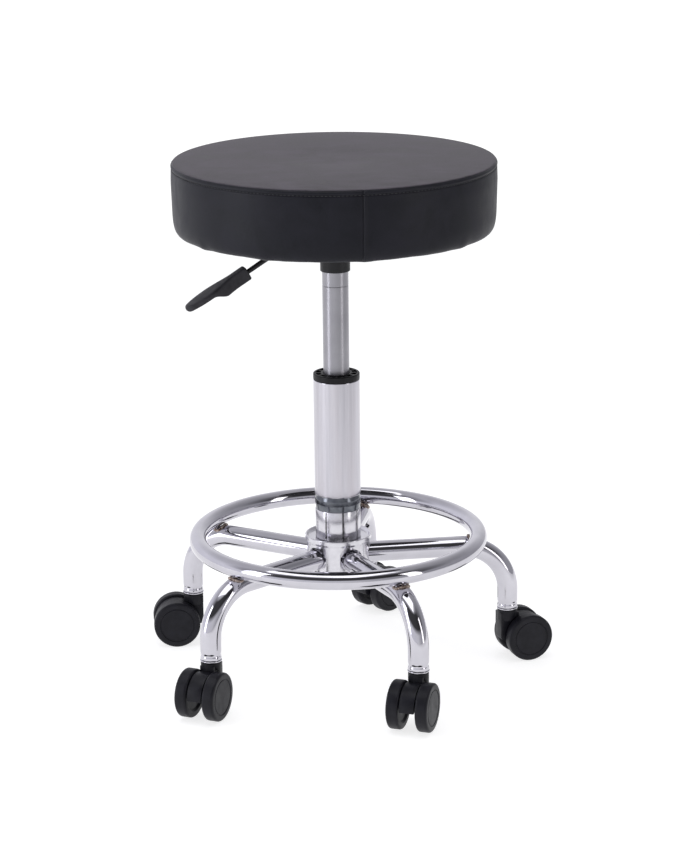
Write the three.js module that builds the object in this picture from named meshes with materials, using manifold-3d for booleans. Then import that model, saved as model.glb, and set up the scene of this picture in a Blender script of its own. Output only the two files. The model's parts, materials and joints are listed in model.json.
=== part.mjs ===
// Adjustable swivel stool: a round padded seat on a gas lift, a chromed five-leg base with a foot
// ring, and five twin-wheel casters. Millimetres, +Z up, floor at z = 0. Every group is laid out
// around the column's own axis, and the last lines move the whole stool so that the origin lies on
// the floor under the middle of its footprint.
import * as THREE from "three";
import { mergeVertices } from "three/addons/utils/BufferGeometryUtils.js";
import Module from "manifold-3d";

const wasm = await Module();
wasm.setup();

// ---- driving dimensions ----

// Clearances
const GAP = 0.3; // between fixed pieces that touch on the real stool
const RUNNING = 0.35; // radial, between pieces that turn or slide on each other

// Casters
const WHEEL_RADIUS = 26;
const WHEEL_WIDTH = 13.2;
const WHEEL_EDGE = 2.4; // rounding of each edge of the tread
const HOOD_WIDTH = 15.9;
const HOOD_GAP = 1.3; // beside each wheel
const ARCH_GAP = 1.2; // round each tread
const HOOD_WALL = 3;
const HOOD_INSET = 2.2; // hood surface below the tread
const HOOD_FROM = 0; // degrees round the axle, trailing side
const HOOD_TO = 150;
const TRAIL = 19.6; // swivel axis to axle
const AXLE_RADIUS = 3;
const AXLE_BOSS = 7;
const AXLE_COVER = 3.5; // wheel material outside the axle's end
const NECK_RADIUS = 11;
const NECK_ABOVE_WHEELS = 5.2;
const NECK_DEPTH = 12; // round part of the neck
const STEM_RADIUS = 5.5;
const STEM_REACH = 22; // into the leg
const STEM_TIP = 2; // stem above the ferrule's sleeve
const STEM_DEPTH = 26; // into the caster's neck
const SWIVEL_GAP = 0.6; // neck to ferrule
const FERRULE_LIP = 1.5;
const FERRULE_OVERHANG = 0.4; // lip beyond the leg tube

// Base
const LEG_AZIMUTHS = [151.2, 224.1, 296.1, 8.1, 80.1]; // degrees
const CASTER_AZIMUTHS = [185, 246.6, 251, 21, 44]; // which way each caster trails
const LEG_REACH = 188; // column axis to caster axis
const LEG_RADIUS = 11.2;
const LEG_WALL = 1.5;
const LEG_DROP = 72.4; // straight run above the leg's lower end
const LEG_BEND = 52;
const RING_INSET = 35.4; // caster axis to the foot ring's centreline
const RING_TUBE = 9.5;
const RING_WELD_GAP = 0.75; // filled by weld on the real stool

// Hub and sleeve
const HUB_CORE_WALL = 2.5;
const HUB_DEPTH = 8.6; // core to skirt
const HUB_SKIRT_WALL = 2;
const HUB_BELOW_LEGS = 3.8;
const HUB_ABOVE_WINDOW = 3.5;
const HUB_PLATE = 3.5;
const HUB_LIP = 3;
const HUB_FLARE = 1.7;
const WINDOW_GAP = 2.3; // hub window beyond the leg tube
const SLEEVE_INSET = 0.55; // sleeve surface inside the column's
const SLEEVE_HEIGHT = 32;
const SLEEVE_SLITS = 8;
const SLIT_WIDTH = 1.4;
const SLIT_TOP_BRIDGE = 0.8;
const SLIT_PHASE = 13; // degrees from -Y to the first slit

// Column
const COLUMN_RADIUS = 25;
const COLUMN_WALL = 1.6;
const COLUMN_LENGTH = 214;
const COLUMN_BELOW_LEGS = 17; // foot of the column below the leg centreline
const TAPER_LENGTH = 86;
const TAPER_STEP = 0.7;
const TAPER_SLOPE = 0.031; // radius per millimetre of height
const LIP_CHAMFER = 1.2;
const COLUMN_FLOOR = 3;
const BUSH_CAP = 6.7;
const BUSH_LENGTH = 80;
const BUSH_POCKETS = 12;
const POCKET_DEPTH = 4.5;
const POCKET_RIM = 2.7; // land inside and outside the pockets
const POCKET_RIB = 2.2;

// Gas lift
const CYLINDER_RADIUS = 14;
const CYLINDER_WALL = 2;
const CYLINDER_LENGTH = 235;
const CYLINDER_SHOWN = 145.5; // cylinder top above the column top, as set
const CYLINDER_TAPER = 0.9; // loss of radius over the socket
const SEAL_LENGTH = 15;
const VALVE_LENGTH = 20;
const ROD_RADIUS = 5;
const ROD_TAIL = 6; // rod below the column
const PISTON_LENGTH = 12;
const STROKE_UP = 30; // travel left above the set height
const STROKE_SPARE = 2;
const CLIP_RADIUS = 8;
const CLIP_THICKNESS = 1.4;
const CLIP_GROOVE = 1;
const WASHER_RADIUS = 14;
const WASHER_THICKNESS = 2.4;
const BUMPER_RADIUS = 12;
const BUMPER_HEIGHT = 8;
const BUTTON_RADIUS = 3;
const BUTTON_LENGTH = 9.7;
const BUTTON_SHOWN = 3.7;
const BUTTON_WELL = 10; // depth of its bore in the cylinder

// Release mechanism
const LEVER_AZIMUTH = 200; // degrees
const SOCKET_WALL = 2;
const SOCKET_GRIP = 27; // socket below the cylinder top
const HOUSING_DROP = 3.8; // housing floor below the cylinder top
const HOUSING_WALL = 2.5;
const HOUSING_BACK = 20; // column axis to the housing's closed end
const PIVOT_RUN = 6; // socket to pivot
const PIVOT_RADIUS = 2.5;
const PIVOT_BELOW_LEVER = 4.5;
const LEVER_BOSS = 5;
const LEVER_BOSS_WIDTH = 14;
const LEVER_RADIUS = 3;
const LEVER_INNER_END = 5; // past the column axis
const LEVER_SLOPE = 30; // degrees
const LEVER_BEND = 12;
const LEVER_HEADROOM = 4.9; // lever to mounting plate
const LEVER_GRIP = 24; // rod inside the handle
const SLOT_GAP = 1.2; // beside the lever in the housing wall
const HANDLE_START = 98; // from the column axis
const HANDLE_BELOW_LEVER = 27.4;
const HANDLE_LENGTH = 76;
const HANDLE_DEPTH = 15;
const HANDLE_SHANK = 30; // deep part before the paddle
const HANDLE_STEP = 16;
const HANDLE_WIDTH = 12;
const PADDLE_WIDTH = 25;
const PADDLE_THICKNESS = 7;

// Seat
const SEAT_RADIUS = 172.3;
const SEAT_THICKNESS = 77;
const SEAT_FLAT = 100; // radius of the flat middle of the top
const SEAT_CROWN = 1.6;
const SEAT_EDGE = 6; // rounding of the top edge
const SEAT_TUCK = 4; // the side wall draws in at the bottom
const COVER_THICKNESS = 1.6;
const COVER_LIP = 18; // turned in under the board
const BOARD_THICKNESS = 12;
const DUST_COVER_THICKNESS = 0.5;
const PLATE_SIZE = 150;
const PLATE_THICKNESS = 2.5;
const PLATE_CORNER = 12;
const BOLT_SPACING = 112;
const BOLT_RADIUS = 3;
const BOLT_HEAD_RADIUS = 6;
const BOLT_HEAD_HEIGHT = 4;
const BOLT_REACH = 13;

// Facets
const ROUND_LARGE = 44;
const ROUND_COLUMN = 36;
const ROUND_MEDIUM = 28;
const ROUND_SMALL = 16;
const ROUND_TINY = 12;
const WHEEL_FACETS = 24;

// ---- levels, from the floor up ----

const neckTop = 2 * WHEEL_RADIUS + NECK_ABOVE_WHEELS;
const ferruleBottom = neckTop + SWIVEL_GAP;
const legFoot = ferruleBottom + FERRULE_LIP + GAP;
const legLevel = legFoot + LEG_DROP;
const bendStart = LEG_REACH - LEG_BEND;
const bendCentreLevel = legLevel - LEG_BEND;
const ringRadius = LEG_REACH - RING_INSET;
const ringFromBend = LEG_BEND + LEG_RADIUS + RING_WELD_GAP + RING_TUBE; // between centres
const ringLevel =
  bendCentreLevel + Math.sqrt(ringFromBend ** 2 - Math.max(0, ringRadius - bendStart) ** 2);
const columnFoot = legLevel - COLUMN_BELOW_LEGS;
const columnTop = columnFoot + COLUMN_LENGTH;
const taperTop = columnFoot + TAPER_LENGTH;
const windowRadius = LEG_RADIUS + WINDOW_GAP;
const hubBottom = legLevel - LEG_RADIUS - HUB_BELOW_LEGS;
const plateUnderside = legLevel + windowRadius + HUB_ABOVE_WINDOW;
const plateLevel = plateUnderside + HUB_PLATE;
const bushTop = columnTop + GAP + BUSH_CAP;
const cylinderTop = columnTop + CYLINDER_SHOWN;
const cylinderFoot = cylinderTop - CYLINDER_LENGTH;
const socketFoot = cylinderTop - SOCKET_GRIP;
const housingFloorTop = cylinderTop - HOUSING_DROP;
const housingFoot = housingFloorTop - HOUSING_WALL;
const buttonTop = cylinderTop + BUTTON_SHOWN;
const leverLevel = buttonTop + GAP + LEVER_RADIUS;
const pivotLevel = leverLevel - PIVOT_BELOW_LEVER;
const mountingUnderside = leverLevel + LEVER_RADIUS + LEVER_HEADROOM;
const mountingTop = mountingUnderside + PLATE_THICKNESS;
const dustLevel = mountingTop + GAP;
const boardLevel = dustLevel + DUST_COVER_THICKNESS + GAP;
const boardTop = boardLevel + BOARD_THICKNESS;
const coverBottom = boardLevel - GAP - COVER_THICKNESS;
const seatTop = coverBottom + SEAT_THICKNESS;

// ---- radii that follow from their neighbours ----

const taperRadius = (z) => COLUMN_RADIUS - TAPER_STEP - TAPER_SLOPE * (taperTop - z);
const hubCoreRadius = taperRadius(plateLevel) + GAP + HUB_CORE_WALL;
const hubSkirtRadius = hubCoreRadius + HUB_DEPTH;
const columnBore = COLUMN_RADIUS - COLUMN_WALL;
const bushBore = CYLINDER_RADIUS + RUNNING;
const chamberRadius = CYLINDER_RADIUS - CYLINDER_WALL;
const socketRadius = CYLINDER_RADIUS + SOCKET_WALL;
const pivotReach = socketRadius + PIVOT_RUN;
const wheelInnerFace = HOOD_WIDTH / 2 + HOOD_GAP;
const wheelOuterFace = wheelInnerFace + WHEEL_WIDTH;
const axleHalf = wheelOuterFace - AXLE_COVER;

// ---- materials ----

const finish = (color, roughness, metalness) => () =>
  new THREE.MeshStandardMaterial({ color, roughness, metalness });
const chrome = finish(0xd8d8de, 0.08, 1);
const satinSteel = finish(0xb2b3b8, 0.3, 1);
const paintedSteel = finish(0x1b1b1d, 0.45, 0.4);
const zincSteel = finish(0x9a9a98, 0.4, 0.9);
const blackPlastic = finish(0x1f1f22, 0.5, 0);
const greyPlastic = finish(0x34343a, 0.55, 0);
const vinyl = finish(0x2b2a2f, 0.55, 0);
const foamPad = finish(0xd9cfa8, 0.95, 0);
const plywood = finish(0xb58e5f, 0.8, 0);
const felt = finish(0x161617, 0.95, 0);
const rubber = finish(0x1a1a1a, 0.9, 0);

// ---- shape helpers ----

const radians = THREE.MathUtils.degToRad;
const points = (pairs) => pairs.map(([x, y]) => new THREE.Vector2(x, y));

function addMesh(group, name, geometry, material) {
  const mesh = new THREE.Mesh(geometry, material());
  mesh.name = name;
  group.add(mesh);
  return mesh;
}

// A body turned about Z from [radius, height] pairs that start and end on the axis.
function turned(pairs, sides) {
  const profile = points(pairs);
  if (THREE.ShapeUtils.isClockWise(profile)) profile.reverse();
  return new THREE.LatheGeometry(profile, sides).rotateX(Math.PI / 2);
}

// A ring turned about Z from a closed loop of [radius, height] pairs.
function turnedRing(pairs, sides) {
  const profile = points(pairs);
  if (THREE.ShapeUtils.isClockWise(profile)) profile.reverse();
  profile.push(profile[0].clone());
  return new THREE.LatheGeometry(profile, sides).rotateX(Math.PI / 2);
}

// A plain tube or washer standing on Z.
const tubeZ = (inner, outer, bottom, top, sides) =>
  turnedRing([[inner, bottom], [outer, bottom], [outer, top], [inner, top]], sides);

// A solid rod between two heights on Z.
function rodZ(radius, bottom, top, sides) {
  const height = top - bottom;
  return new THREE.CylinderGeometry(radius, radius, height, sides)
    .rotateX(Math.PI / 2)
    .translate(0, 0, bottom + height / 2);
}

// A solid rod along Y, centred on y = 0.
const rodY = (radius, length, sides) => new THREE.CylinderGeometry(radius, radius, length, sides);

// An outline in the XZ plane, extruded equally both ways along Y.
function slabY(shape, depth, curveSegments = 8) {
  return new THREE.ExtrudeGeometry(shape, { depth, bevelEnabled: false, curveSegments })
    .rotateX(Math.PI / 2)
    .translate(0, depth / 2, 0);
}

// An outline in the XY plane, extruded upwards from a height.
function slabZ(shape, depth, bottom, curveSegments = 8) {
  return new THREE.ExtrudeGeometry(shape, { depth, bevelEnabled: false, curveSegments }).translate(
    0,
    0,
    bottom,
  );
}

function circleShape(radius, sides, x = 0, y = 0) {
  const corners = [];
  for (let i = 0; i < sides; i++) {
    const angle = (2 * Math.PI * i) / sides;
    corners.push(new THREE.Vector2(x + radius * Math.cos(angle), y + radius * Math.sin(angle)));
  }
  return new THREE.Shape(corners);
}

function toSolid(geometry) {
  const plain = geometry.clone();
  plain.deleteAttribute("normal");
  plain.deleteAttribute("uv");
  const merged = mergeVertices(plain, 1e-4);
  return new wasm.Manifold(
    new wasm.Mesh({
      numProp: 3,
      vertProperties: new Float32Array(merged.attributes.position.array),
      triVerts: new Uint32Array(merged.index.array),
    }),
  );
}

function toGeometry(solid) {
  const mesh = solid.getMesh();
  const geometry = new THREE.BufferGeometry();
  geometry.setAttribute("position", new THREE.BufferAttribute(mesh.vertProperties, 3));
  geometry.setIndex(new THREE.BufferAttribute(mesh.triVerts, 1));
  geometry.computeVertexNormals();
  return geometry;
}

const join = (...shapes) => toGeometry(shapes.map(toSolid).reduce((a, b) => a.add(b)));
const cut = (body, ...tools) =>
  toGeometry(tools.map(toSolid).reduce((a, b) => a.subtract(b), toSolid(body)));
const overlap = (a, b) => toGeometry(toSolid(a).intersect(toSolid(b)));

// A straight run, a bend in the XZ plane and a second straight run. Each straight takes one
// extrusion step and the bend takes the rest.
class BentPath extends THREE.Curve {
  constructor(start, corner, end, radius, bendSteps) {
    super();
    const inwards = new THREE.Vector3().subVectors(start, corner).normalize();
    const outwards = new THREE.Vector3().subVectors(end, corner).normalize();
    const half = inwards.angleTo(outwards) / 2;
    const setback = radius / Math.tan(half);
    this.turn = Math.PI - 2 * half;
    this.start = start;
    this.end = end;
    this.bendFrom = corner.clone().addScaledVector(inwards, setback);
    this.bendTo = corner.clone().addScaledVector(outwards, setback);
    const middle = new THREE.Vector3().addVectors(inwards, outwards).normalize();
    this.centre = corner.clone().addScaledVector(middle, radius / Math.sin(half));
    this.steps = bendSteps + 2;
  }

  getUtoTmapping(u) {
    return u;
  }

  getPoint(t, target = new THREE.Vector3()) {
    const step = t * this.steps;
    if (step < 1) return target.lerpVectors(this.start, this.bendFrom, step);
    if (step > this.steps - 1)
      return target.lerpVectors(this.bendTo, this.end, step - this.steps + 1);
    const share = (step - 1) / (this.steps - 2);
    const from = new THREE.Vector3().subVectors(this.bendFrom, this.centre);
    const to = new THREE.Vector3().subVectors(this.bendTo, this.centre);
    const scale = 1 / Math.sin(this.turn);
    return target
      .copy(this.centre)
      .addScaledVector(from, Math.sin((1 - share) * this.turn) * scale)
      .addScaledVector(to, Math.sin(share * this.turn) * scale);
  }
}

const along = (shape, path) =>
  new THREE.ExtrudeGeometry(shape, {
    steps: path.steps,
    bevelEnabled: false,
    extrudePath: path,
  });

// ---- base ----

function legTube() {
  const path = new BentPath(
    new THREE.Vector3(hubCoreRadius + GAP, 0, legLevel),
    new THREE.Vector3(LEG_REACH, 0, legLevel),
    new THREE.Vector3(LEG_REACH, 0, legFoot),
    LEG_BEND,
    9,
  );
  const section = circleShape(LEG_RADIUS, 14);
  section.holes.push(circleShape(LEG_RADIUS - LEG_WALL, 10));
  return along(section, path);
}

function hub() {
  const coreBore = (z) => taperRadius(z) + GAP;
  const coreFoot = columnFoot - GAP;
  const flangeRadius = hubSkirtRadius + HUB_FLARE;
  const shell = turnedRing(
    [
      [coreBore(coreFoot), coreFoot],
      [hubCoreRadius, coreFoot],
      [hubCoreRadius, plateUnderside],
      [hubSkirtRadius - HUB_SKIRT_WALL, plateUnderside],
      [hubSkirtRadius - HUB_SKIRT_WALL, hubBottom],
      [hubSkirtRadius, hubBottom],
      [hubSkirtRadius, plateUnderside],
      [flangeRadius, plateUnderside + HUB_FLARE],
      [flangeRadius, plateLevel + HUB_LIP],
      [flangeRadius - HUB_FLARE, plateLevel + HUB_LIP],
      [flangeRadius - 2 * HUB_FLARE, plateLevel],
      [coreBore(plateLevel), plateLevel],
    ],
    ROUND_COLUMN,
  );
  const reach = HUB_DEPTH + HUB_SKIRT_WALL;
  const windows = LEG_AZIMUTHS.map((azimuth) =>
    new THREE.CylinderGeometry(windowRadius, windowRadius, reach, ROUND_SMALL)
      .rotateZ(-Math.PI / 2)
      .translate(hubCoreRadius + GAP + reach / 2, 0, legLevel)
      .rotateZ(radians(azimuth)),
  );
  return cut(shell, ...windows);
}

function slottedSleeve() {
  const foot = plateLevel + GAP;
  const top = foot + SLEEVE_HEIGHT;
  const outer = COLUMN_RADIUS - SLEEVE_INSET;
  const wall = turnedRing(
    [
      [taperRadius(foot) + GAP, foot],
      [outer, foot],
      [outer, top],
      [taperRadius(top) + GAP, top],
    ],
    ROUND_COLUMN,
  );
  const slitHeight = SLEEVE_HEIGHT - 2 * SLIT_TOP_BRIDGE;
  const slits = [];
  for (let i = 0; i < SLEEVE_SLITS; i++) {
    slits.push(
      new THREE.BoxGeometry(COLUMN_RADIUS, SLIT_WIDTH, slitHeight)
        .translate(COLUMN_RADIUS, 0, foot + SLEEVE_HEIGHT / 2)
        .rotateZ(radians(SLIT_PHASE - 90 + (360 / SLEEVE_SLITS) * i)),
    );
  }
  return cut(wall, ...slits);
}

function columnTube() {
  const rodHole = ROD_RADIUS + RUNNING;
  const innerTaper = (z) => taperRadius(z) - COLUMN_WALL;
  const floorTop = columnFoot + COLUMN_FLOOR;
  return turnedRing(
    [
      [rodHole, columnFoot],
      [taperRadius(columnFoot), columnFoot],
      [taperRadius(taperTop), taperTop],
      [COLUMN_RADIUS, taperTop + LIP_CHAMFER],
      [COLUMN_RADIUS, columnTop],
      [columnBore, columnTop],
      [columnBore, taperTop + 2 * LIP_CHAMFER],
      [innerTaper(floorTop), floorTop],
      [rodHole, floorTop],
    ],
    ROUND_COLUMN,
  );
}

// One of the open pockets sunk round the top of the guide bush.
function bushPocket(inner, outer, index) {
  const pitch = (2 * Math.PI) / BUSH_POCKETS;
  const half = pitch / 2 - POCKET_RIB / (inner + outer);
  const shape = new THREE.Shape();
  shape.absarc(0, 0, outer, -half, half, false);
  shape.absarc(0, 0, inner, half, -half, true);
  return slabZ(shape, POCKET_DEPTH + GAP, bushTop - POCKET_DEPTH, 2).rotateZ(pitch * index);
}

function guideBush() {
  const body = turnedRing(
    [
      [bushBore, columnTop - BUSH_LENGTH],
      [columnBore - GAP, columnTop - BUSH_LENGTH],
      [columnBore - GAP, columnTop + GAP],
      [COLUMN_RADIUS, columnTop + GAP],
      [COLUMN_RADIUS, bushTop],
      [bushBore, bushTop],
    ],
    ROUND_COLUMN,
  );
  const pockets = [];
  for (let i = 0; i < BUSH_POCKETS; i++)
    pockets.push(bushPocket(bushBore + POCKET_RIM, COLUMN_RADIUS - POCKET_RIM, i));
  return cut(body, ...pockets);
}

function buildBase() {
  const base = new THREE.Group();
  addMesh(base, "hub", hub(), chrome);
  addMesh(base, "slotted_sleeve", slottedSleeve(), chrome);
  addMesh(base, "column_tube", columnTube(), chrome);
  addMesh(base, "guide_bush", guideBush(), blackPlastic);
  const ring = new THREE.TorusGeometry(ringRadius, RING_TUBE, ROUND_TINY, 52);
  addMesh(base, "foot_ring", ring, chrome).position.z = ringLevel;
  const washerLevel = columnFoot + COLUMN_FLOOR + GAP;
  const washerBore = ROD_RADIUS + RUNNING;
  addMesh(
    base,
    "thrust_washer",
    tubeZ(washerBore, WASHER_RADIUS, washerLevel, washerLevel + WASHER_THICKNESS, ROUND_SMALL),
    zincSteel,
  );
  LEG_AZIMUTHS.forEach((azimuth, i) => {
    addMesh(base, `leg_${i + 1}`, legTube(), chrome).rotation.z = radians(azimuth);
  });
  return base;
}

// ---- casters ----

// Ferrule pressed into the leg: a lip under the tube's end and a sleeve for the stem.
function stemSocket() {
  const bore = STEM_RADIUS + GAP;
  const sleeve = LEG_RADIUS - LEG_WALL - 2 * GAP;
  const lipTop = ferruleBottom + FERRULE_LIP;
  return turnedRing(
    [
      [bore, ferruleBottom],
      [LEG_RADIUS + FERRULE_OVERHANG, ferruleBottom],
      [LEG_RADIUS + FERRULE_OVERHANG, lipTop],
      [sleeve, lipTop],
      [sleeve, legFoot + STEM_REACH - STEM_TIP],
      [bore, legFoot + STEM_REACH - STEM_TIP],
    ],
    ROUND_TINY,
  );
}

function stem() {
  const bottom = neckTop - STEM_DEPTH;
  const top = legFoot + STEM_REACH;
  return turned(
    [
      [0, bottom],
      [STEM_RADIUS, bottom],
      [STEM_RADIUS, top - STEM_RADIUS / 2],
      [STEM_RADIUS / 2, top],
      [0, top],
    ],
    ROUND_TINY,
  );
}

function hoodShell() {
  const outer = WHEEL_RADIUS - HOOD_INSET;
  const shape = new THREE.Shape();
  shape.absarc(TRAIL, WHEEL_RADIUS, outer, radians(HOOD_FROM), radians(HOOD_TO), false);
  shape.absarc(TRAIL, WHEEL_RADIUS, outer - HOOD_WALL, radians(HOOD_TO), radians(HOOD_FROM), true);
  return slabY(shape, HOOD_WIDTH, 9);
}

// The solid front of the hood, from the neck down to the axle boss.
function hoodFront() {
  const low = WHEEL_RADIUS - AXLE_BOSS;
  const shape = new THREE.Shape(
    points([
      [-NECK_RADIUS, low + AXLE_BOSS],
      [0, low],
      [TRAIL, low],
      [TRAIL, WHEEL_RADIUS + AXLE_BOSS],
      [NECK_RADIUS, 2 * WHEEL_RADIUS - HOOD_INSET - HOOD_WALL],
      [NECK_RADIUS, neckTop - NECK_ABOVE_WHEELS / 2],
      [-NECK_RADIUS, neckTop - NECK_ABOVE_WHEELS / 2],
    ]),
  );
  return slabY(shape, HOOD_WIDTH);
}

function casterHousing() {
  const boss = rodY(AXLE_BOSS, HOOD_WIDTH, ROUND_SMALL).translate(TRAIL, 0, WHEEL_RADIUS);
  const neck = rodZ(NECK_RADIUS, neckTop - NECK_DEPTH, neckTop, ROUND_SMALL);
  const body = join(hoodShell(), hoodFront(), boss, neck);
  const spaceWidth = NECK_RADIUS;
  const spaces = [-1, 1].map((side) =>
    rodY(WHEEL_RADIUS + ARCH_GAP, spaceWidth, ROUND_MEDIUM).translate(
      TRAIL,
      side * (HOOD_WIDTH + spaceWidth) / 2,
      WHEEL_RADIUS,
    ),
  );
  const axleBore = rodY(AXLE_RADIUS + GAP, 2 * wheelOuterFace, ROUND_TINY);
  const boreFoot = neckTop - STEM_DEPTH - GAP;
  return cut(
    body,
    ...spaces,
    axleBore.translate(TRAIL, 0, WHEEL_RADIUS),
    rodZ(STEM_RADIUS + RUNNING, boreFoot, neckTop + 1, ROUND_TINY),
  );
}

// One wheel about Z, its outer face up, moved out from the caster's middle plane. The flats of
// its facets lie at the wheel's radius, and one of them is turned down to the floor.
function wheel() {
  const boreEnd = axleHalf + GAP;
  const halfFacet = Math.PI / WHEEL_FACETS;
  const tread = WHEEL_RADIUS / Math.cos(halfFacet);
  return turned(
    [
      [0, boreEnd],
      [AXLE_RADIUS + RUNNING, boreEnd],
      [AXLE_RADIUS + RUNNING, wheelInnerFace],
      [tread - WHEEL_EDGE, wheelInnerFace],
      [tread, wheelInnerFace + WHEEL_EDGE],
      [tread, wheelOuterFace - WHEEL_EDGE],
      [tread - WHEEL_EDGE, wheelOuterFace],
      [0, wheelOuterFace],
    ],
    WHEEL_FACETS,
  ).rotateZ(halfFacet);
}

function buildCaster(index) {
  const caster = new THREE.Group();
  const leg = radians(LEG_AZIMUTHS[index]);
  const name = `caster_${index + 1}`;
  caster.position.set(LEG_REACH * Math.cos(leg), LEG_REACH * Math.sin(leg), 0);
  caster.rotation.z = radians(CASTER_AZIMUTHS[index]);
  addMesh(caster, `${name}_socket`, stemSocket(), chrome);
  addMesh(caster, `${name}_stem`, stem(), zincSteel);
  addMesh(caster, `${name}_housing`, casterHousing(), blackPlastic);
  const axle = addMesh(caster, `${name}_axle`, rodY(AXLE_RADIUS, 2 * axleHalf, 12), zincSteel);
  axle.position.set(TRAIL, 0, WHEEL_RADIUS);
  for (const [side, turn] of [["left", -1], ["right", 1]]) {
    const round = addMesh(caster, `${name}_wheel_${side}`, wheel(), blackPlastic);
    round.position.set(TRAIL, 0, WHEEL_RADIUS);
    round.rotation.x = (turn * Math.PI) / 2;
  }
  return caster;
}

// ---- gas lift ----

function gasCylinder() {
  const outer = CYLINDER_RADIUS;
  const topRadius = outer - CYLINDER_TAPER;
  return turnedRing(
    [
      [ROD_RADIUS + RUNNING, cylinderFoot],
      [outer, cylinderFoot],
      [outer, socketFoot],
      [topRadius, cylinderTop],
      [BUTTON_RADIUS + RUNNING, cylinderTop],
      [BUTTON_RADIUS + RUNNING, cylinderTop - BUTTON_WELL],
      [BUTTON_RADIUS / 2, cylinderTop - BUTTON_WELL],
      [BUTTON_RADIUS / 2, cylinderTop - VALVE_LENGTH],
      [chamberRadius, cylinderTop - VALVE_LENGTH],
      [chamberRadius, cylinderFoot + SEAL_LENGTH],
      [ROD_RADIUS + RUNNING, cylinderFoot + SEAL_LENGTH],
    ],
    ROUND_MEDIUM,
  );
}

function pistonRod() {
  const bottom = columnFoot - ROD_TAIL;
  const grooveTop = columnFoot - GAP;
  const grooveFoot = grooveTop - CLIP_THICKNESS - 2 * GAP;
  const pistonFoot = cylinderFoot + SEAL_LENGTH + STROKE_UP + STROKE_SPARE;
  const pistonTop = pistonFoot + PISTON_LENGTH;
  return turned(
    [
      [0, bottom],
      [ROD_RADIUS, bottom],
      [ROD_RADIUS, grooveFoot],
      [ROD_RADIUS - CLIP_GROOVE, grooveFoot],
      [ROD_RADIUS - CLIP_GROOVE, grooveTop],
      [ROD_RADIUS, grooveTop],
      [ROD_RADIUS, pistonFoot],
      [chamberRadius - RUNNING, pistonFoot],
      [chamberRadius - RUNNING, pistonTop],
      [0, pistonTop],
    ],
    ROUND_SMALL,
  );
}

function buildGasLift() {
  const lift = new THREE.Group();
  const clipTop = columnFoot - 2 * GAP;
  const clipBore = ROD_RADIUS - CLIP_GROOVE + GAP;
  const bumperFoot = columnFoot + COLUMN_FLOOR + WASHER_THICKNESS + 2 * GAP;
  addMesh(lift, "gas_cylinder", gasCylinder(), satinSteel);
  addMesh(lift, "piston_rod", pistonRod(), satinSteel);
  addMesh(
    lift,
    "rod_clip",
    tubeZ(clipBore, CLIP_RADIUS, clipTop - CLIP_THICKNESS, clipTop, ROUND_SMALL),
    zincSteel,
  );
  addMesh(
    lift,
    "bump_stop",
    tubeZ(ROD_RADIUS + GAP, BUMPER_RADIUS, bumperFoot, bumperFoot + BUMPER_HEIGHT, ROUND_SMALL),
    rubber,
  );
  addMesh(
    lift,
    "release_button",
    rodZ(BUTTON_RADIUS, buttonTop - BUTTON_LENGTH, buttonTop, ROUND_TINY),
    zincSteel,
  );
  return lift;
}

// ---- release mechanism, laid out with the lever along +X ----

function taperSocket() {
  const topRadius = CYLINDER_RADIUS - (CYLINDER_TAPER * (SOCKET_GRIP - HOUSING_DROP)) / SOCKET_GRIP;
  return turnedRing(
    [
      [CYLINDER_RADIUS + GAP, socketFoot],
      [socketRadius, socketFoot],
      [socketRadius, housingFloorTop],
      [topRadius + GAP, housingFloorTop],
    ],
    ROUND_MEDIUM,
  );
}

// A pressed box under the mounting plate: open above, bored for the socket, slotted for the lever.
function releaseHousing() {
  const top = mountingUnderside - GAP;
  const front = pivotReach + LEVER_BOSS + HOUSING_WALL + 1;
  const length = HOUSING_BACK + front;
  const width = 2 * (socketRadius + GAP + 1);
  const height = top - housingFoot;
  const middle = (front - HOUSING_BACK) / 2;
  const outside = new THREE.BoxGeometry(length, width, height);
  const inside = new THREE.BoxGeometry(length - 2 * HOUSING_WALL, width - 2 * HOUSING_WALL, height);
  const slotWidth = 2 * (LEVER_RADIUS + SLOT_GAP);
  const slot = new THREE.BoxGeometry(3 * HOUSING_WALL, slotWidth, top - pivotLevel + 2);
  return cut(
    outside.translate(middle, 0, housingFoot + height / 2),
    inside.translate(middle, 0, housingFloorTop + height / 2),
    rodZ(socketRadius + GAP, housingFoot - 1, housingFloorTop + 1, ROUND_MEDIUM),
    slot.translate(front, 0, pivotLevel + (top - pivotLevel) / 2 + 1),
    rodY(PIVOT_RADIUS + GAP, 2 * width, ROUND_TINY).translate(pivotReach, 0, pivotLevel),
  );
}

const slopeX = Math.cos(radians(LEVER_SLOPE));
const slopeZ = Math.sin(radians(LEVER_SLOPE));
const handleLevel = leverLevel - HANDLE_BELOW_LEVER;

function leverRod() {
  const bendX = HANDLE_START - HANDLE_BELOW_LEVER / Math.tan(radians(LEVER_SLOPE));
  const path = new BentPath(
    new THREE.Vector3(-LEVER_INNER_END, 0, leverLevel),
    new THREE.Vector3(bendX, 0, leverLevel),
    new THREE.Vector3(
      HANDLE_START + LEVER_GRIP * slopeX,
      0,
      handleLevel - LEVER_GRIP * slopeZ,
    ),
    LEVER_BEND,
    4,
  );
  const rod = along(circleShape(LEVER_RADIUS, ROUND_TINY), path);
  const boss = rodY(LEVER_BOSS, LEVER_BOSS_WIDTH, ROUND_SMALL).translate(pivotReach, 0, pivotLevel);
  const bore = rodY(PIVOT_RADIUS + RUNNING, 2 * LEVER_BOSS_WIDTH, ROUND_TINY);
  return cut(join(rod, boss), bore.translate(pivotReach, 0, pivotLevel));
}

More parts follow.
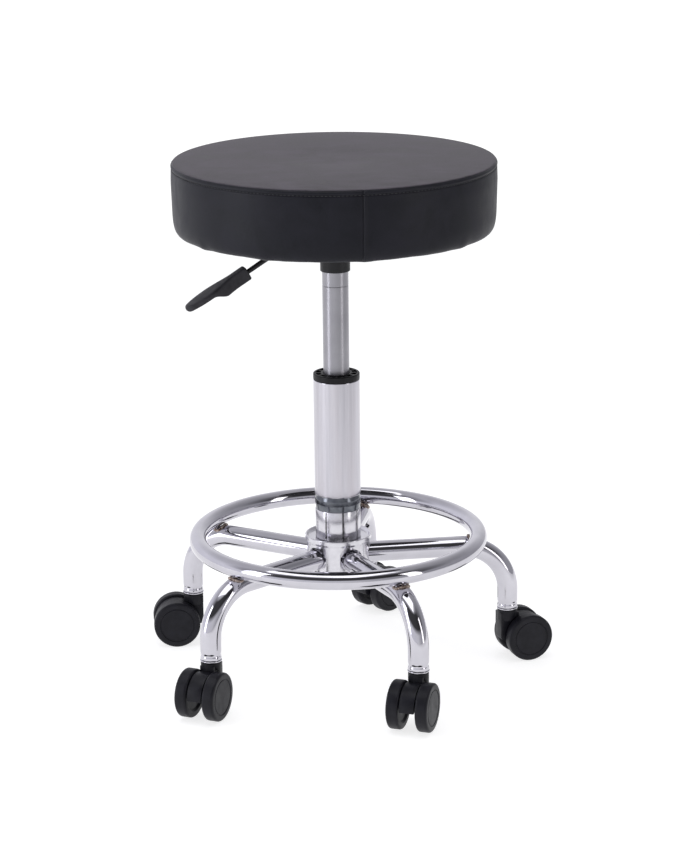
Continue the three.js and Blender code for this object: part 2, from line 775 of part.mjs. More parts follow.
// The handle lies along +X from its own end face: a side outline crossed with a top outline.
function leverHandle() {
  const top = HANDLE_DEPTH / 2;
  const thin = top - PADDLE_THICKNESS;
  const tip = PADDLE_THICKNESS / 2;
  const side = new THREE.Shape();
  side.moveTo(0, -top);
  side.lineTo(HANDLE_SHANK, -top);
  side.quadraticCurveTo(HANDLE_SHANK + HANDLE_STEP / 2, -top, HANDLE_SHANK + HANDLE_STEP, thin);
  side.lineTo(HANDLE_LENGTH - tip, thin);
  side.absarc(HANDLE_LENGTH - tip, top - tip, tip, -Math.PI / 2, Math.PI / 2, false);
  side.lineTo(0, top);
  side.closePath();
  const neck = HANDLE_WIDTH / 2;
  const wide = PADDLE_WIDTH / 2;
  const shoulder = HANDLE_SHANK + HANDLE_STEP;
  const plan = new THREE.Shape();
  plan.moveTo(0, -neck);
  plan.lineTo(HANDLE_SHANK / 2, -neck);
  plan.bezierCurveTo(HANDLE_SHANK, -neck, HANDLE_SHANK, -wide, shoulder, -wide);
  plan.quadraticCurveTo(HANDLE_LENGTH, -wide, HANDLE_LENGTH, 0);
  plan.quadraticCurveTo(HANDLE_LENGTH, wide, shoulder, wide);
  plan.bezierCurveTo(HANDLE_SHANK, wide, HANDLE_SHANK, neck, HANDLE_SHANK / 2, neck);
  plan.lineTo(0, neck);
  plan.closePath();
  const block = overlap(
    slabY(side, 2 * PADDLE_WIDTH, 5),
    slabZ(plan, 2 * HANDLE_DEPTH, -HANDLE_DEPTH, 5),
  );
  const bore = new THREE.CylinderGeometry(
    LEVER_RADIUS + GAP,
    LEVER_RADIUS + GAP,
    2 * (LEVER_GRIP + GAP),
    ROUND_TINY,
  ).rotateZ(Math.PI / 2);
  return cut(block, bore);
}

function buildRelease() {
  const release = new THREE.Group();
  release.rotation.z = radians(LEVER_AZIMUTH);
  const pinLength = 2 * (socketRadius + GAP + 1);
  addMesh(release, "taper_socket", taperSocket(), paintedSteel);
  addMesh(release, "release_housing", releaseHousing(), paintedSteel);
  const pin = addMesh(release, "lever_pin", rodY(PIVOT_RADIUS, pinLength, 12), zincSteel);
  pin.position.set(pivotReach, 0, pivotLevel);
  addMesh(release, "lever_rod", leverRod(), paintedSteel);
  const handle = addMesh(release, "lever_handle", leverHandle(), greyPlastic);
  handle.position.set(HANDLE_START, 0, handleLevel);
  handle.rotation.y = radians(LEVER_SLOPE);
  addMesh(release, "mounting_plate", mountingPlate(), paintedSteel);
  boltPlaces().forEach(([x, y], i) => {
    addMesh(release, `seat_bolt_${i + 1}`, seatBolt(), zincSteel).position.set(x, y, 0);
  });
  return release;
}

// ---- seat ----

const boltPlaces = () =>
  [[1, 1], [-1, 1], [-1, -1], [1, -1]].map(([x, y]) => [
    (x * BOLT_SPACING) / 2,
    (y * BOLT_SPACING) / 2,
  ]);

function withBoltHoles(shape, turn = 0) {
  for (const [x, y] of boltPlaces()) {
    const at = new THREE.Vector2(x, y).rotateAround(new THREE.Vector2(), turn);
    shape.holes.push(circleShape(BOLT_RADIUS + 2 * GAP, ROUND_TINY, at.x, at.y));
  }
  return shape;
}

function mountingPlate() {
  const half = PLATE_SIZE / 2;
  const inner = half - PLATE_CORNER;
  const shape = new THREE.Shape();
  const corners = [[1, 1], [-1, 1], [-1, -1], [1, -1]];
  corners.forEach(([x, y], i) => {
    const from = (i * Math.PI) / 2;
    shape.absarc(x * inner, y * inner, PLATE_CORNER, from, from + Math.PI / 2, false);
  });
  return slabZ(withBoltHoles(shape), PLATE_THICKNESS, mountingUnderside, 5);
}

function seatBolt() {
  const headTop = mountingUnderside - GAP;
  const head = rodZ(BOLT_HEAD_RADIUS, headTop - BOLT_HEAD_HEIGHT, headTop, 6);
  return join(head, rodZ(BOLT_RADIUS, headTop - 1, headTop + BOLT_REACH, ROUND_TINY));
}

function boltedDisc(radius, bottom, thickness) {
  const shape = withBoltHoles(circleShape(radius, ROUND_LARGE), radians(LEVER_AZIMUTH));
  return slabZ(shape, thickness, bottom);
}

// Outline of the upholstery at a depth inside its surface, from the top middle to the bottom lip.
function seatOutline(depth) {
  const radius = SEAT_RADIUS - depth;
  const top = seatTop - depth;
  const bottom = coverBottom + depth;
  return [
    [0, top],
    [SEAT_FLAT, top],
    [radius - SEAT_EDGE, top - SEAT_CROWN],
    [radius - 1, top - SEAT_CROWN - SEAT_EDGE / 2],
    [radius, top - SEAT_CROWN - SEAT_EDGE],
    [radius, (top + bottom) / 2],
    [radius - SEAT_TUCK / 3, bottom + 2 * SEAT_EDGE],
    [radius - SEAT_TUCK, bottom + SEAT_EDGE / 2],
    [radius - SEAT_TUCK - SEAT_EDGE, bottom],
  ];
}

function seatCover() {
  const lip = SEAT_RADIUS - SEAT_TUCK - SEAT_EDGE - COVER_LIP;
  const outside = seatOutline(0);
  const inside = seatOutline(COVER_THICKNESS).reverse();
  const turnedIn = [
    [lip, coverBottom],
    [lip, coverBottom + COVER_THICKNESS],
  ];
  return turned([...outside, ...turnedIn, ...inside], ROUND_LARGE);
}

function seatFoam() {
  const outline = seatOutline(COVER_THICKNESS + GAP).filter(([, z]) => z > boardTop + 2 * GAP);
  const rim = outline[outline.length - 1][0];
  return turned(
    [...outline, [rim - SEAT_TUCK / 3, boardTop + GAP], [0, boardTop + GAP]],
    ROUND_LARGE,
  );
}

function buildSeat() {
  const seat = new THREE.Group();
  const turnIn = SEAT_RADIUS - SEAT_TUCK - SEAT_EDGE;
  const dustRadius = turnIn - COVER_LIP - GAP;
  const boardRadius = turnIn - COVER_THICKNESS - GAP;
  addMesh(seat, "seat_cover", seatCover(), vinyl);
  addMesh(seat, "seat_foam", seatFoam(), foamPad);
  addMesh(seat, "seat_board", boltedDisc(boardRadius, boardLevel, BOARD_THICKNESS), plywood);
  addMesh(seat, "dust_cover", boltedDisc(dustRadius, dustLevel, DUST_COVER_THICKNESS), felt);
  return seat;
}

// ---- assembly ----

const stool = new THREE.Group();
stool.add(buildBase(), buildGasLift(), buildRelease(), buildSeat());
LEG_AZIMUTHS.forEach((_, i) => stool.add(buildCaster(i)));

const footprint = new THREE.Box3().setFromObject(stool).getCenter(new THREE.Vector3());
stool.position.set(-Math.round(footprint.x), -Math.round(footprint.y), 0);

export default stool;
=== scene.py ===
"""Looks of an adjustable swivel stool: padded seat, gas lift, chromed star base, twin-wheel casters.

Lengths in this file are millimetres unless a name says otherwise, and MM turns them into the
scene's metres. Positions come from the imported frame: its joints and the boxes of its nodes.
"""

import json
import math

import bmesh
import bpy
from mathutils import Matrix, Vector, noise


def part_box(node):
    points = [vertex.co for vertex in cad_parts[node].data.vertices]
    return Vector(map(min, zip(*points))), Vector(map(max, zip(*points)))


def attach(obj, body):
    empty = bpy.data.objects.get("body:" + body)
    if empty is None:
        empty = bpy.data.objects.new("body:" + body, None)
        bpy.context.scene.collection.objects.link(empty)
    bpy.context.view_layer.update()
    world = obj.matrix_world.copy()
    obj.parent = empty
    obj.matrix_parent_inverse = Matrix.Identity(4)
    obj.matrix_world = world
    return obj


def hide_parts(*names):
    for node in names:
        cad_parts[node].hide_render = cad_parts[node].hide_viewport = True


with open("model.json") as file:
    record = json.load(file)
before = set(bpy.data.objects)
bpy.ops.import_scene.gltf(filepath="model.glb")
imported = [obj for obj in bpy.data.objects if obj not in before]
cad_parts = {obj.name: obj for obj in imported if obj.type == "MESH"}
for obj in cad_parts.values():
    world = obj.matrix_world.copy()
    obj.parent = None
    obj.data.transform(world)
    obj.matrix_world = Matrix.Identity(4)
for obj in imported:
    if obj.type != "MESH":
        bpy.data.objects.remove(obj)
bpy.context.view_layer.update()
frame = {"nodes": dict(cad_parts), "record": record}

MM = 0.001
TAU = 2 * math.pi
scene = bpy.context.scene


# ---------------------------------------------------------------- places from the frame

JOINTS = {joint["name"]: joint for joint in frame["record"]["behaviour"]["joints"]}
AXIS_X, AXIS_Y = (value / MM for value in JOINTS["seat_swivel"]["pos_m"][:2])
AXIS = Vector((AXIS_X, AXIS_Y, 0))
CASTERS = range(1, 6)
SIDES = ("left", "right")


def node_span(node, axis):
    """Lowest and highest coordinate of a CAD node along one axis, in millimetres."""
    low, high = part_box(node)
    return low[axis] / MM, high[axis] / MM


def node_radius(node):
    """Half the greatest width of a round node that stands on the column's axis."""
    low, high = node_span(node, 0)
    return (high - low) / 2


def joint_place(name):
    """Where a joint's axis passes, in millimetres."""
    return Vector(JOINTS[name]["pos_m"]) / MM


def about_column(turn=0.0):
    """The frame of the column's axis, turned about it by an angle in radians."""
    return Matrix.Translation(AXIS) @ Matrix.Rotation(turn, 4, "Z")


# ---------------------------------------------------------------- sizes

SEAT_TOP = node_span("seat_cover", 2)[1]
SEAT_BOTTOM = node_span("seat_cover", 2)[0]
SEAT_RADIUS = node_radius("seat_cover")
SEAM_DROP = 1.8  # seat top to the seam between top panel and side band
STITCH_DROP = 7.2  # seat top to the top-stitched line on the band
UPRIGHT_SEAM = math.radians(280)  # azimuth of the seam in the side band
GATHERS = [math.radians(a) for a in (216, 245, 281, 322, 18, 63, 117, 171)]

COLUMN_RADIUS = node_radius("column_tube")
COLUMN_FOOT, COLUMN_TOP = node_span("column_tube", 2)
SHROUD_FOOT = COLUMN_FOOT + 86
TAPER_SLOPE = 0.031
SLEEVE_FOOT, SLEEVE_TOP = node_span("slotted_sleeve", 2)
SLEEVE_RADIUS = node_radius("slotted_sleeve")
SLIT_WIDTH = 1.5
SLIT_COUNT = 8
SLIT_PHASE = math.radians(13 - 90)

LEG_RADIUS = 11.2
LEG_BEND = 52
LEG_LEVEL = 132.0
LEG_FOOT = node_span("leg_1", 2)[0]
RING_LOW, RING_HIGH = node_span("foot_ring", 2)
RING_TUBE = (RING_HIGH - RING_LOW) / 2
RING_LEVEL = (RING_HIGH + RING_LOW) / 2
RING_RADIUS = node_radius("foot_ring") - RING_TUBE

HUB_FOOT = LEG_LEVEL - LEG_RADIUS - 3.8
HUB_PLATE = SLEEVE_FOOT - 0.3
HUB_RADIUS = node_radius("hub")

WHEEL_RADIUS = joint_place("caster_1_left_spin").z
HOOD_WIDTH = 15.9
WHEEL_IN = HOOD_WIDTH / 2 + 1.3
WHEEL_OUT = WHEEL_IN + 13.2
NECK_RADIUS = 11
NECK_TOP = node_span("caster_1_housing", 2)[1]

LEVER_ARM = joint_place("lever_pull") - AXIS
LEVER_TURN = math.atan2(LEVER_ARM.y, LEVER_ARM.x)


# ---------------------------------------------------------------- mesh helpers

def new_object(name, mesh):
    """An object in the scene that holds the mesh."""
    piece = bpy.data.objects.new(name, mesh)
    scene.collection.objects.link(piece)
    return piece


def raw_object(name, bm):
    """An unpainted object from a bmesh in millimetres, its faces pointing outwards."""
    bmesh.ops.scale(bm, vec=Vector((MM, MM, MM)), verts=bm.verts)
    bmesh.ops.recalc_face_normals(bm, faces=bm.faces)
    mesh = bpy.data.meshes.new(name)
    bm.to_mesh(mesh)
    bm.free()
    return new_object(name, mesh)


def shade(mesh, sharp_degrees):
    """Smooth shading, apart from the edges that are sharper than an angle."""
    mesh.shade_smooth()
    mesh.set_sharp_from_angle(angle=math.radians(sharp_degrees))


def piece_from_bmesh(name, bm, materials, sharp_degrees=32):
    """A finished piece from a bmesh in millimetres."""
    piece = raw_object(name, bm)
    for material in materials:
        piece.data.materials.append(material)
    shade(piece.data, sharp_degrees)
    return piece


def settle(piece, body, slot, *nodes):
    """The piece rides on a body and stands for CAD nodes, which it hides; the slot argument is not
    used.
    """
    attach(piece, body)
    if nodes:
        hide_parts(*nodes)
    return piece


def eased_corner(before, corner, after, radius, steps):
    """Points of the arc that rounds one corner of a flat outline."""
    inwards, outwards = (before - corner), (after - corner)
    reach = min(inwards.length, outwards.length) * 0.49
    angle = inwards.angle(outwards)
    if radius <= 0 or angle > math.radians(176):
        return [corner]
    setback = min(radius / math.tan(angle / 2), reach)
    radius = setback * math.tan(angle / 2)
    bisector = (inwards.normalized() + outwards.normalized()).normalized()
    centre = corner + bisector * (radius / math.sin(angle / 2))
    first = corner + inwards.normalized() * setback - centre
    sweep = first.angle_signed(corner + outwards.normalized() * setback - centre)
    points = []
    for step in range(steps + 1):
        turn = -sweep * step / steps
        cosine, sine = math.cos(turn), math.sin(turn)
        points.append(centre + Vector((first.x * cosine - first.y * sine,
                                       first.x * sine + first.y * cosine)))
    return points


def rounded(outline, radii, closed=True, steps=4):
    """An outline of (radius, height) corners with each corner rounded. radii: one or a list."""
    corners = [Vector(corner) for corner in outline]
    if not isinstance(radii, (list, tuple)):
        radii = [radii] * len(corners)
    points = []
    for i, corner in enumerate(corners):
        at_end = not closed and i in (0, len(corners) - 1)
        if at_end:
            points.append(corner)
            continue
        before, after = corners[i - 1], corners[(i + 1) % len(corners)]
        points += eased_corner(before, corner, after, radii[i], steps)
    return points


def held_flat(points, closed, margin=0.6, long_run=4.0):
    """Adds a point near each end of the long straight runs, so that they shade flat."""
    held = []
    for i, start in enumerate(points):
        held.append(start)
        if i == len(points) - 1 and not closed:
            break
        run = points[(i + 1) % len(points)] - start
        if run.length > long_run:
            step = run.normalized() * margin
            held += [start + step, start + run - step]
    return held


def revolve(profile, sides, closed, place=Matrix(), azimuths=None):
    """A bmesh turned about local Z from (radius, height) points, put in place."""
    bm = bmesh.new()
    azimuths = azimuths or [TAU * i / sides for i in range(sides)]
    rings = []
    for radius, height in profile:
        if radius < 1e-6:
            rings.append([bm.verts.new((0, 0, height))])
        else:
            rings.append([
                bm.verts.new((radius * math.cos(a), radius * math.sin(a), height))
                for a in azimuths
            ])
    pairs = list(zip(rings, rings[1:]))
    if closed:
        pairs.append((rings[-1], rings[0]))
    for lower, upper in pairs:
        for i in range(len(azimuths)):
            j = (i + 1) % len(azimuths)
            corners = [lower[i % len(lower)], lower[j % len(lower)],
                       upper[j % len(upper)], upper[i % len(upper)]]
            unique = list(dict.fromkeys(corners))
            if len(unique) > 2:
                bm.faces.new(unique)
    bm.transform(place)
    return bm


def turned_piece(name, outline, radii, material, closed=True, sides=96, place=None):
    """A turned part with rounded corners, on the column's axis unless placed elsewhere."""
    profile = held_flat(rounded(outline, radii, closed), closed)
    bm = revolve(profile, sides, closed, place or about_column())
    return piece_from_bmesh(name, bm, [material])


def capped(bm, rings):
    """Joins rings of vertices with quads and closes both ends."""
    sides = len(rings[0])
    for lower, upper in zip(rings, rings[1:]):
        for k in range(sides):
            after = (k + 1) % sides
            bm.faces.new([lower[k], lower[after], upper[after], upper[k]])
    bm.faces.new(rings[0])
    bm.faces.new(rings[-1])


def sweep(points, radius_at, sides, place):
    """A capped tube through points of the local XZ plane, radius_at giving its radius."""
    bm = bmesh.new()
    rings = []
    for i, point in enumerate(points):
        ahead = points[min(i + 1, len(points) - 1)] - points[max(i - 1, 0)]
        normal = Vector((-ahead.z, 0, ahead.x)).normalized()
        side = Vector((0, 1, 0))
        radius = radius_at(i)
        rings.append([
            bm.verts.new(point + normal * radius * math.cos(TAU * k / sides)
                         + side * radius * math.sin(TAU * k / sides))
            for k in range(sides)
        ])
    capped(bm, rings)
    bm.transform(place)
    return bm


def lying(x, z, axis="X", turn=math.pi / 2):
    """Lays a local Z axis level through the point (x, 0, z)."""
    return Matrix.Translation((x, 0, z)) @ Matrix.Rotation(turn, 4, axis)


def extruded_slab(outline, width, place):
    """A closed slab from an outline in the local XZ plane, centred on y = 0."""
    bm = bmesh.new()
    near = [bm.verts.new((x, -width / 2, z)) for x, z in outline]
    far = [bm.verts.new((x, width / 2, z)) for x, z in outline]
    bm.faces.new(near)
    bm.faces.new(list(reversed(far)))
    for i in range(len(outline)):
        j = (i + 1) % len(outline)
        bm.faces.new([near[i], near[j], far[j], far[i]])
    bm.transform(place)
    return bm


def baked(piece):
    """The piece's own mesh with its modifiers applied."""
    graph = bpy.context.evaluated_depsgraph_get()
    mesh = bpy.data.meshes.new_from_object(piece.evaluated_get(graph))
    piece.modifiers.clear()
    piece.data = mesh
    return piece


def carve(piece, tools, operation="DIFFERENCE"):
    """Cuts the tools out of the piece, or joins them to it, and removes them."""
    for tool in tools:
        modifier = piece.modifiers.new("carve", "BOOLEAN")
        modifier.operation = operation
        modifier.solver = "EXACT"
        modifier.object = tool
    bpy.context.view_layer.update()
    baked(piece)
    for tool in tools:
        bpy.data.objects.remove(tool)
    return piece


def bevelled(piece, width, material, segments=3, sharp_degrees=35):
    """Rounds the piece's sharp edges by a width in millimetres and shades it smooth."""
    modifier = piece.modifiers.new("edge", "BEVEL")
    modifier.width = width * MM
    modifier.segments = segments
    modifier.limit_method = "ANGLE"
    modifier.angle_limit = math.radians(30)
    baked(piece)
    piece.data.materials.clear()
    piece.data.materials.append(material)
    shade(piece.data, sharp_degrees)
    return piece


def walled(piece, thickness):
    """Gives an open surface a wall, in millimetres, on its inner side."""
    modifier = piece.modifiers.new("wall", "SOLIDIFY")
    modifier.thickness = thickness * MM
    modifier.offset = -1
    return baked(piece)


def eased_copy(node, name, width, material):
    """A copy of a CAD node with its edges rounded."""
    bm = bmesh.new()
    bm.from_mesh(frame["nodes"][node].data)
    bmesh.ops.remove_doubles(bm, verts=bm.verts, dist=1e-6)
    bmesh.ops.dissolve_limit(bm, angle_limit=math.radians(1), verts=bm.verts, edges=bm.edges)
    mesh = bpy.data.meshes.new(name)
    bm.to_mesh(mesh)
    bm.free()
    return bevelled(new_object(name, mesh), width, material)


# ---------------------------------------------------------------- geometry node helpers

class Tree:
    """A geometry node tree under construction: named inputs, nodes and links."""

    def __init__(self, name, inputs):
        self.group = bpy.data.node_groups.new(name, "GeometryNodeTree")
        kinds = {float: "NodeSocketFloat", int: "NodeSocketInt"}
        self.sockets = {}
        self.defaults = inputs
        for label, value in inputs.items():
            kind = kinds.get(type(value), "NodeSocketMaterial")
            self.sockets[label] = self.group.interface.new_socket(
                name=label, in_out="INPUT", socket_type=kind)
        self.group.interface.new_socket(
            name="Geometry", in_out="OUTPUT", socket_type="NodeSocketGeometry")
        self.inputs = self.group.nodes.new("NodeGroupInput")
        self.output = self.group.nodes.new("NodeGroupOutput")

    def node(self, kind, links=None, **settings):
        """Adds a node. settings are its properties, links its inputs by name or number."""
        node = self.group.nodes.new(kind)
        for key, value in settings.items():
            setattr(node, key, value)
        for key, value in (links or {}).items():
            socket = node.inputs[key]
            if isinstance(value, bpy.types.NodeSocket):
                self.group.links.new(value, socket)
            elif isinstance(value, bpy.types.Node):
                self.group.links.new(value.outputs[0], socket)
            else:
                socket.default_value = value
        return node

    def __getitem__(self, label):
        """The socket of a named input."""
        return self.inputs.outputs[label]

    def math(self, operation, a, b=0.0):
        """A maths node on two sockets or numbers."""
        return self.node("ShaderNodeMath", {0: a, 1: b}, operation=operation).outputs[0]

    def vector(self, x=0.0, y=0.0, z=0.0):
        """A vector from three sockets or numbers."""
        return self.node("ShaderNodeCombineXYZ", {"X": x, "Y": y, "Z": z}).outputs[0]

    def azimuth(self):
        """The angle of each point about Z."""
        place = self.node("GeometryNodeInputPosition")
        apart = self.node("ShaderNodeSeparateXYZ", {0: place.outputs[0]})
        return self.math("ARCTAN2", apart.outputs["Y"], apart.outputs["X"])

    def ring(self, count, radius):
        """Points evenly round a circle."""
        return self.node("GeometryNodeMeshCircle", {"Vertices": count, "Radius": radius})

    def strewn(self, points, instance, rotation):
        """One turned instance on each point."""
        return self.node("GeometryNodeInstanceOnPoints",
                         {"Points": points, "Instance": instance, "Rotation": rotation})

    def raised(self, geometry, level):
        """The geometry, moved up."""
        return self.node("GeometryNodeTransform",
                         {"Geometry": geometry, "Translation": self.vector(z=level)})

    def joined(self, *parts):
        """Several geometries as one."""
        whole = self.node("GeometryNodeJoinGeometry")
        for part in parts:
            self.group.links.new(part.outputs[0], whole.inputs[0])
        return whole

    def finish(self, geometry):
        """Ends the tree in real geometry with the material of its input."""
        real = self.node("GeometryNodeRealizeInstances", {"Geometry": geometry})
        painted = self.node("GeometryNodeSetMaterial",
                            {"Geometry": real, "Material": self["Material"]})
        self.group.links.new(painted.outputs[0], self.output.inputs[0])

    def grow(self, name, place=None, smooth_degrees=32):
        """Evaluates the tree on an empty mesh and returns the result as a plain piece."""
        piece = new_object(name, bpy.data.meshes.new(name))
        modifier = piece.modifiers.new("grow", "NODES")
        modifier.node_group = self.group
        for label, value in self.defaults.items():
            modifier[self.sockets[label].identifier] = value
        bpy.context.view_layer.update()
        baked(piece)
        piece.data.transform(Matrix.Scale(MM, 4) @ (place or about_column()))
        shade(piece.data, smooth_degrees)
        return piece


# ---------------------------------------------------------------- material helpers

def mix_colors(nodes, links, factor, first, second, blend="MIX"):
    """A colour mix whose inputs are sockets or plain values."""
    mix = nodes.new("ShaderNodeMix")
    mix.data_type = "RGBA"
    mix.blend_type = blend
    for label, value in (("Factor", factor), ("A", first), ("B", second)):
        if isinstance(value, bpy.types.NodeSocket):
            links.new(value, mix.inputs[label])
        else:
            mix.inputs[label].default_value = value
    return mix.outputs["Result"]


class Finish:
    """A procedural material: one shader, with textures on Object coordinates."""

    def __init__(self, name, color, roughness, metallic=0.0, **sockets):
        self.material = bpy.data.materials.new(name)
        self.material.use_nodes = True
        self.nodes = self.material.node_tree.nodes
        self.links = self.material.node_tree.links
        self.shader = self.nodes["Principled BSDF"]
        self.shader.inputs["Base Color"].default_value = (*color, 1)
        self.shader.inputs["Roughness"].default_value = roughness
        self.shader.inputs["Metallic"].default_value = metallic
        for label, value in sockets.items():
            self.shader.inputs[label.replace("_", " ")].default_value = value
        self.place = self.nodes.new("ShaderNodeTexCoord").outputs["Object"]

    def mapped(self, scale):
        """Object coordinates, scaled along each axis."""
        mapping = self.nodes.new("ShaderNodeMapping")
        mapping.inputs["Scale"].default_value = scale
        self.links.new(self.place, mapping.inputs["Vector"])
        return mapping.outputs[0]

    def noise(self, size_mm, detail=4.0, stretch=(1, 1, 1), distortion=0.0):
        """Noise whose blobs are about size_mm across, squeezed by stretch."""
        texture = self.nodes.new("ShaderNodeTexNoise")
        texture.inputs["Scale"].default_value = 1 / (size_mm * MM)
        texture.inputs["Detail"].default_value = detail
        texture.inputs["Distortion"].default_value = distortion
        self.links.new(self.mapped(stretch), texture.inputs["Vector"])
        return texture.outputs["Fac"]

    def cells(self, size_mm):
        """Distance to the edges of cells about size_mm across."""
        texture = self.nodes.new("ShaderNodeTexVoronoi")
        texture.feature = "DISTANCE_TO_EDGE"
        texture.inputs["Scale"].default_value = 1 / (size_mm * MM)
        self.links.new(self.mapped((1, 1, 1)), texture.inputs["Vector"])
        return texture.outputs["Distance"]

    def spread(self, value, low, high, start=0.3, end=0.7):
        """Maps a texture value from start..end to low..high."""
        span = self.nodes.new("ShaderNodeMapRange")
        for label, number in (("From Min", start), ("From Max", end),
                              ("To Min", low), ("To Max", high)):
            span.inputs[label].default_value = number
        self.links.new(value, span.inputs["Value"])
        return span.outputs["Result"]

    def tint(self, value, dark, light, start=0.3, end=0.7):
        """Maps a texture value from start..end to a dark and a light colour."""
        ramp = self.nodes.new("ShaderNodeValToRGB")
        ramp.color_ramp.elements[0].position = start
        ramp.color_ramp.elements[0].color = (*dark, 1)
        ramp.color_ramp.elements[1].position = end
        ramp.color_ramp.elements[1].color = (*light, 1)
        self.links.new(value, ramp.inputs["Fac"])
        return ramp.outputs["Color"]

    def mixed(self, factor, first, second):
        """A mix of two colours."""
        return mix_colors(self.nodes, self.links, factor, first, second)

    def paint(self, color):
        """Drives the base colour."""
        self.links.new(color, self.shader.inputs["Base Color"])

    def roughen(self, value):
        """Drives the roughness."""
        self.links.new(value, self.shader.inputs["Roughness"])

    def emboss(self, height, depth_mm, strength=1.0):
        """Adds a height field to the shader's bump, on top of any bump already there."""
        bump = self.nodes.new("ShaderNodeBump")
        bump.inputs["Strength"].default_value = strength
        bump.inputs["Distance"].default_value = depth_mm * MM
        self.links.new(height, bump.inputs["Height"])
        normal = self.shader.inputs["Normal"]
        if normal.links:
            self.links.new(normal.links[0].from_socket, bump.inputs["Normal"])
        self.links.new(bump.outputs["Normal"], normal)


# ---------------------------------------------------------------- materials

def make_chrome():
    """Bright plate on tube, with slight waves in the metal."""
    finish = Finish("chrome_plate", (0.56, 0.55, 0.595), 0.05, 1.0)
    cloud = finish.noise(26, detail=3)
    finish.roughen(finish.spread(cloud, 0.035, 0.085))
    finish.paint(finish.tint(cloud, (0.53, 0.52, 0.565), (0.59, 0.58, 0.625)))
    finish.emboss(finish.noise(14, detail=2), 0.02)
    return finish.material


def make_shroud_chrome():
    """Chrome over drawn tube, with the faint upright lines of the drawing and broad upright streaks
    of painted brownish dark reflection.
    """
    finish = Finish("shroud_chrome", (0.55, 0.54, 0.585), 0.1, 1.0)
    lines = finish.noise(3.2, detail=4, stretch=(1, 1, 0.025))
    # Broad upright streaks pull the colour towards brownish grey: a painted dark reflection.
    painted_reflection_streaks = finish.noise(11, detail=2, stretch=(1, 1, 0.08))
    finish.roughen(finish.spread(lines, 0.08, 0.17))
    finish.paint(finish.mixed(finish.spread(painted_reflection_streaks, 0.0, 0.7),
                              finish.tint(lines, (0.49, 0.48, 0.525), (0.60, 0.59, 0.635)),
                              (0.50, 0.475, 0.51, 1)))
    finish.emboss(lines, 0.012)
    return finish.material


def make_satin_chrome():
    """Chrome over pressed steel that was only tumbled, so that it mirrors softly."""
    finish = Finish("satin_chrome", (0.66, 0.65, 0.69), 0.2, 1.0)
    cloud = finish.noise(8, detail=5)
    finish.roughen(finish.spread(cloud, 0.15, 0.26))
    finish.paint(finish.tint(cloud, (0.60, 0.59, 0.63), (0.70, 0.69, 0.73)))
    finish.emboss(finish.noise(2.5, detail=3), 0.015)
    return finish.material


def make_painted_dark_reflection_chrome():
    """The glossy swell under the shroud's lip, its chrome darkened as a painted dark reflection."""
    finish = Finish("painted_dark_reflection_chrome", (0.12, 0.128, 0.145), 0.16, 1.0)
    cloud = finish.noise(9, detail=3)
    finish.roughen(finish.spread(cloud, 0.1, 0.24))
    finish.paint(finish.tint(cloud, (0.075, 0.082, 0.098), (0.19, 0.20, 0.22)))
    finish.emboss(finish.noise(5, detail=2), 0.05)
    return finish.material


def make_ground_steel():
    """Hard-chromed gas cylinder: fine rings from the grinding wheel."""
    finish = Finish("ground_steel", (0.34, 0.335, 0.36), 0.3, 1.0, Anisotropic=0.6,
                    Anisotropic_Rotation=0.25)
    tangent = finish.nodes.new("ShaderNodeTangent")
    tangent.direction_type = "RADIAL"
    tangent.axis = "Z"
    finish.links.new(tangent.outputs[0], finish.shader.inputs["Tangent"])
    rings = finish.noise(1.0, detail=3, stretch=(0.05, 0.05, 3.0))
    finish.roughen(finish.spread(rings, 0.28, 0.36))
    finish.paint(finish.tint(finish.noise(30), (0.31, 0.305, 0.33), (0.37, 0.365, 0.39)))
    finish.emboss(rings, 0.004)
    return finish.material


def make_zinc():
    """Zinc plate, cloudy and half matt."""
    finish = Finish("zinc_plate", (0.55, 0.55, 0.53), 0.38, 0.9)
    cloud = finish.noise(3, detail=5)
    finish.paint(finish.tint(cloud, (0.45, 0.45, 0.44), (0.62, 0.62, 0.6)))
    finish.roughen(finish.spread(cloud, 0.3, 0.45))
    return finish.material


def make_weld():
    """Heat-tinted weld metal."""
    finish = Finish("weld_bead", (0.3, 0.22, 0.17), 0.35, 0.9)
    cloud = finish.noise(2.2, detail=4)
    finish.paint(finish.tint(cloud, (0.10, 0.055, 0.035), (0.55, 0.47, 0.42)))
    finish.roughen(finish.spread(cloud, 0.22, 0.5))
    finish.emboss(finish.noise(0.9), 0.15)
    return finish.material


def make_painted_steel():
    """Black paint with a slight orange peel."""
    finish = Finish("black_paint", (0.01, 0.01, 0.011), 0.42, Specular_IOR_Level=0.3)
    peel = finish.noise(1.6, detail=2)
    finish.emboss(peel, 0.02)
    finish.roughen(finish.spread(finish.noise(12), 0.34, 0.5))
    finish.paint(finish.tint(finish.noise(20), (0.006, 0.006, 0.007), (0.013, 0.013, 0.015)))
    return finish.material


def make_plastic(name, dark, light, roughness, grain_mm=0.35, depth_mm=0.02):
    """Moulded plastic with a fine grain."""
    finish = Finish(name, light, roughness, Specular_IOR_Level=0.2)
    finish.paint(finish.tint(finish.noise(9, detail=5), dark, light))
    finish.roughen(finish.spread(finish.noise(14), roughness - 0.06, roughness + 0.08))
    finish.emboss(finish.noise(grain_mm, detail=2), depth_mm)
    return finish.material


def make_leatherette(name, dark, light, mottle_mm, roughness, shine):
    """Grained leatherette: pebble cells with fine pores, and a soft cloudy tone."""
    finish = Finish(name, light, roughness, Specular_IOR_Level=shine)
    cloud = finish.noise(mottle_mm, detail=6, stretch=(1, 1.6, 1), distortion=1.1)
    fleck = finish.noise(2.4, detail=4)
    tone = finish.tint(cloud, dark, light, 0.34, 0.68)
    worn = finish.mixed(finish.spread(fleck, 0.0, 0.35), tone, (*light, 1))
    finish.paint(worn)
    finish.roughen(finish.spread(cloud, roughness - 0.05, roughness + 0.07))
    finish.emboss(finish.cells(1.1), 0.09, 0.6)
    finish.emboss(finish.noise(0.35, detail=2), 0.03, 0.5)
    return finish.material


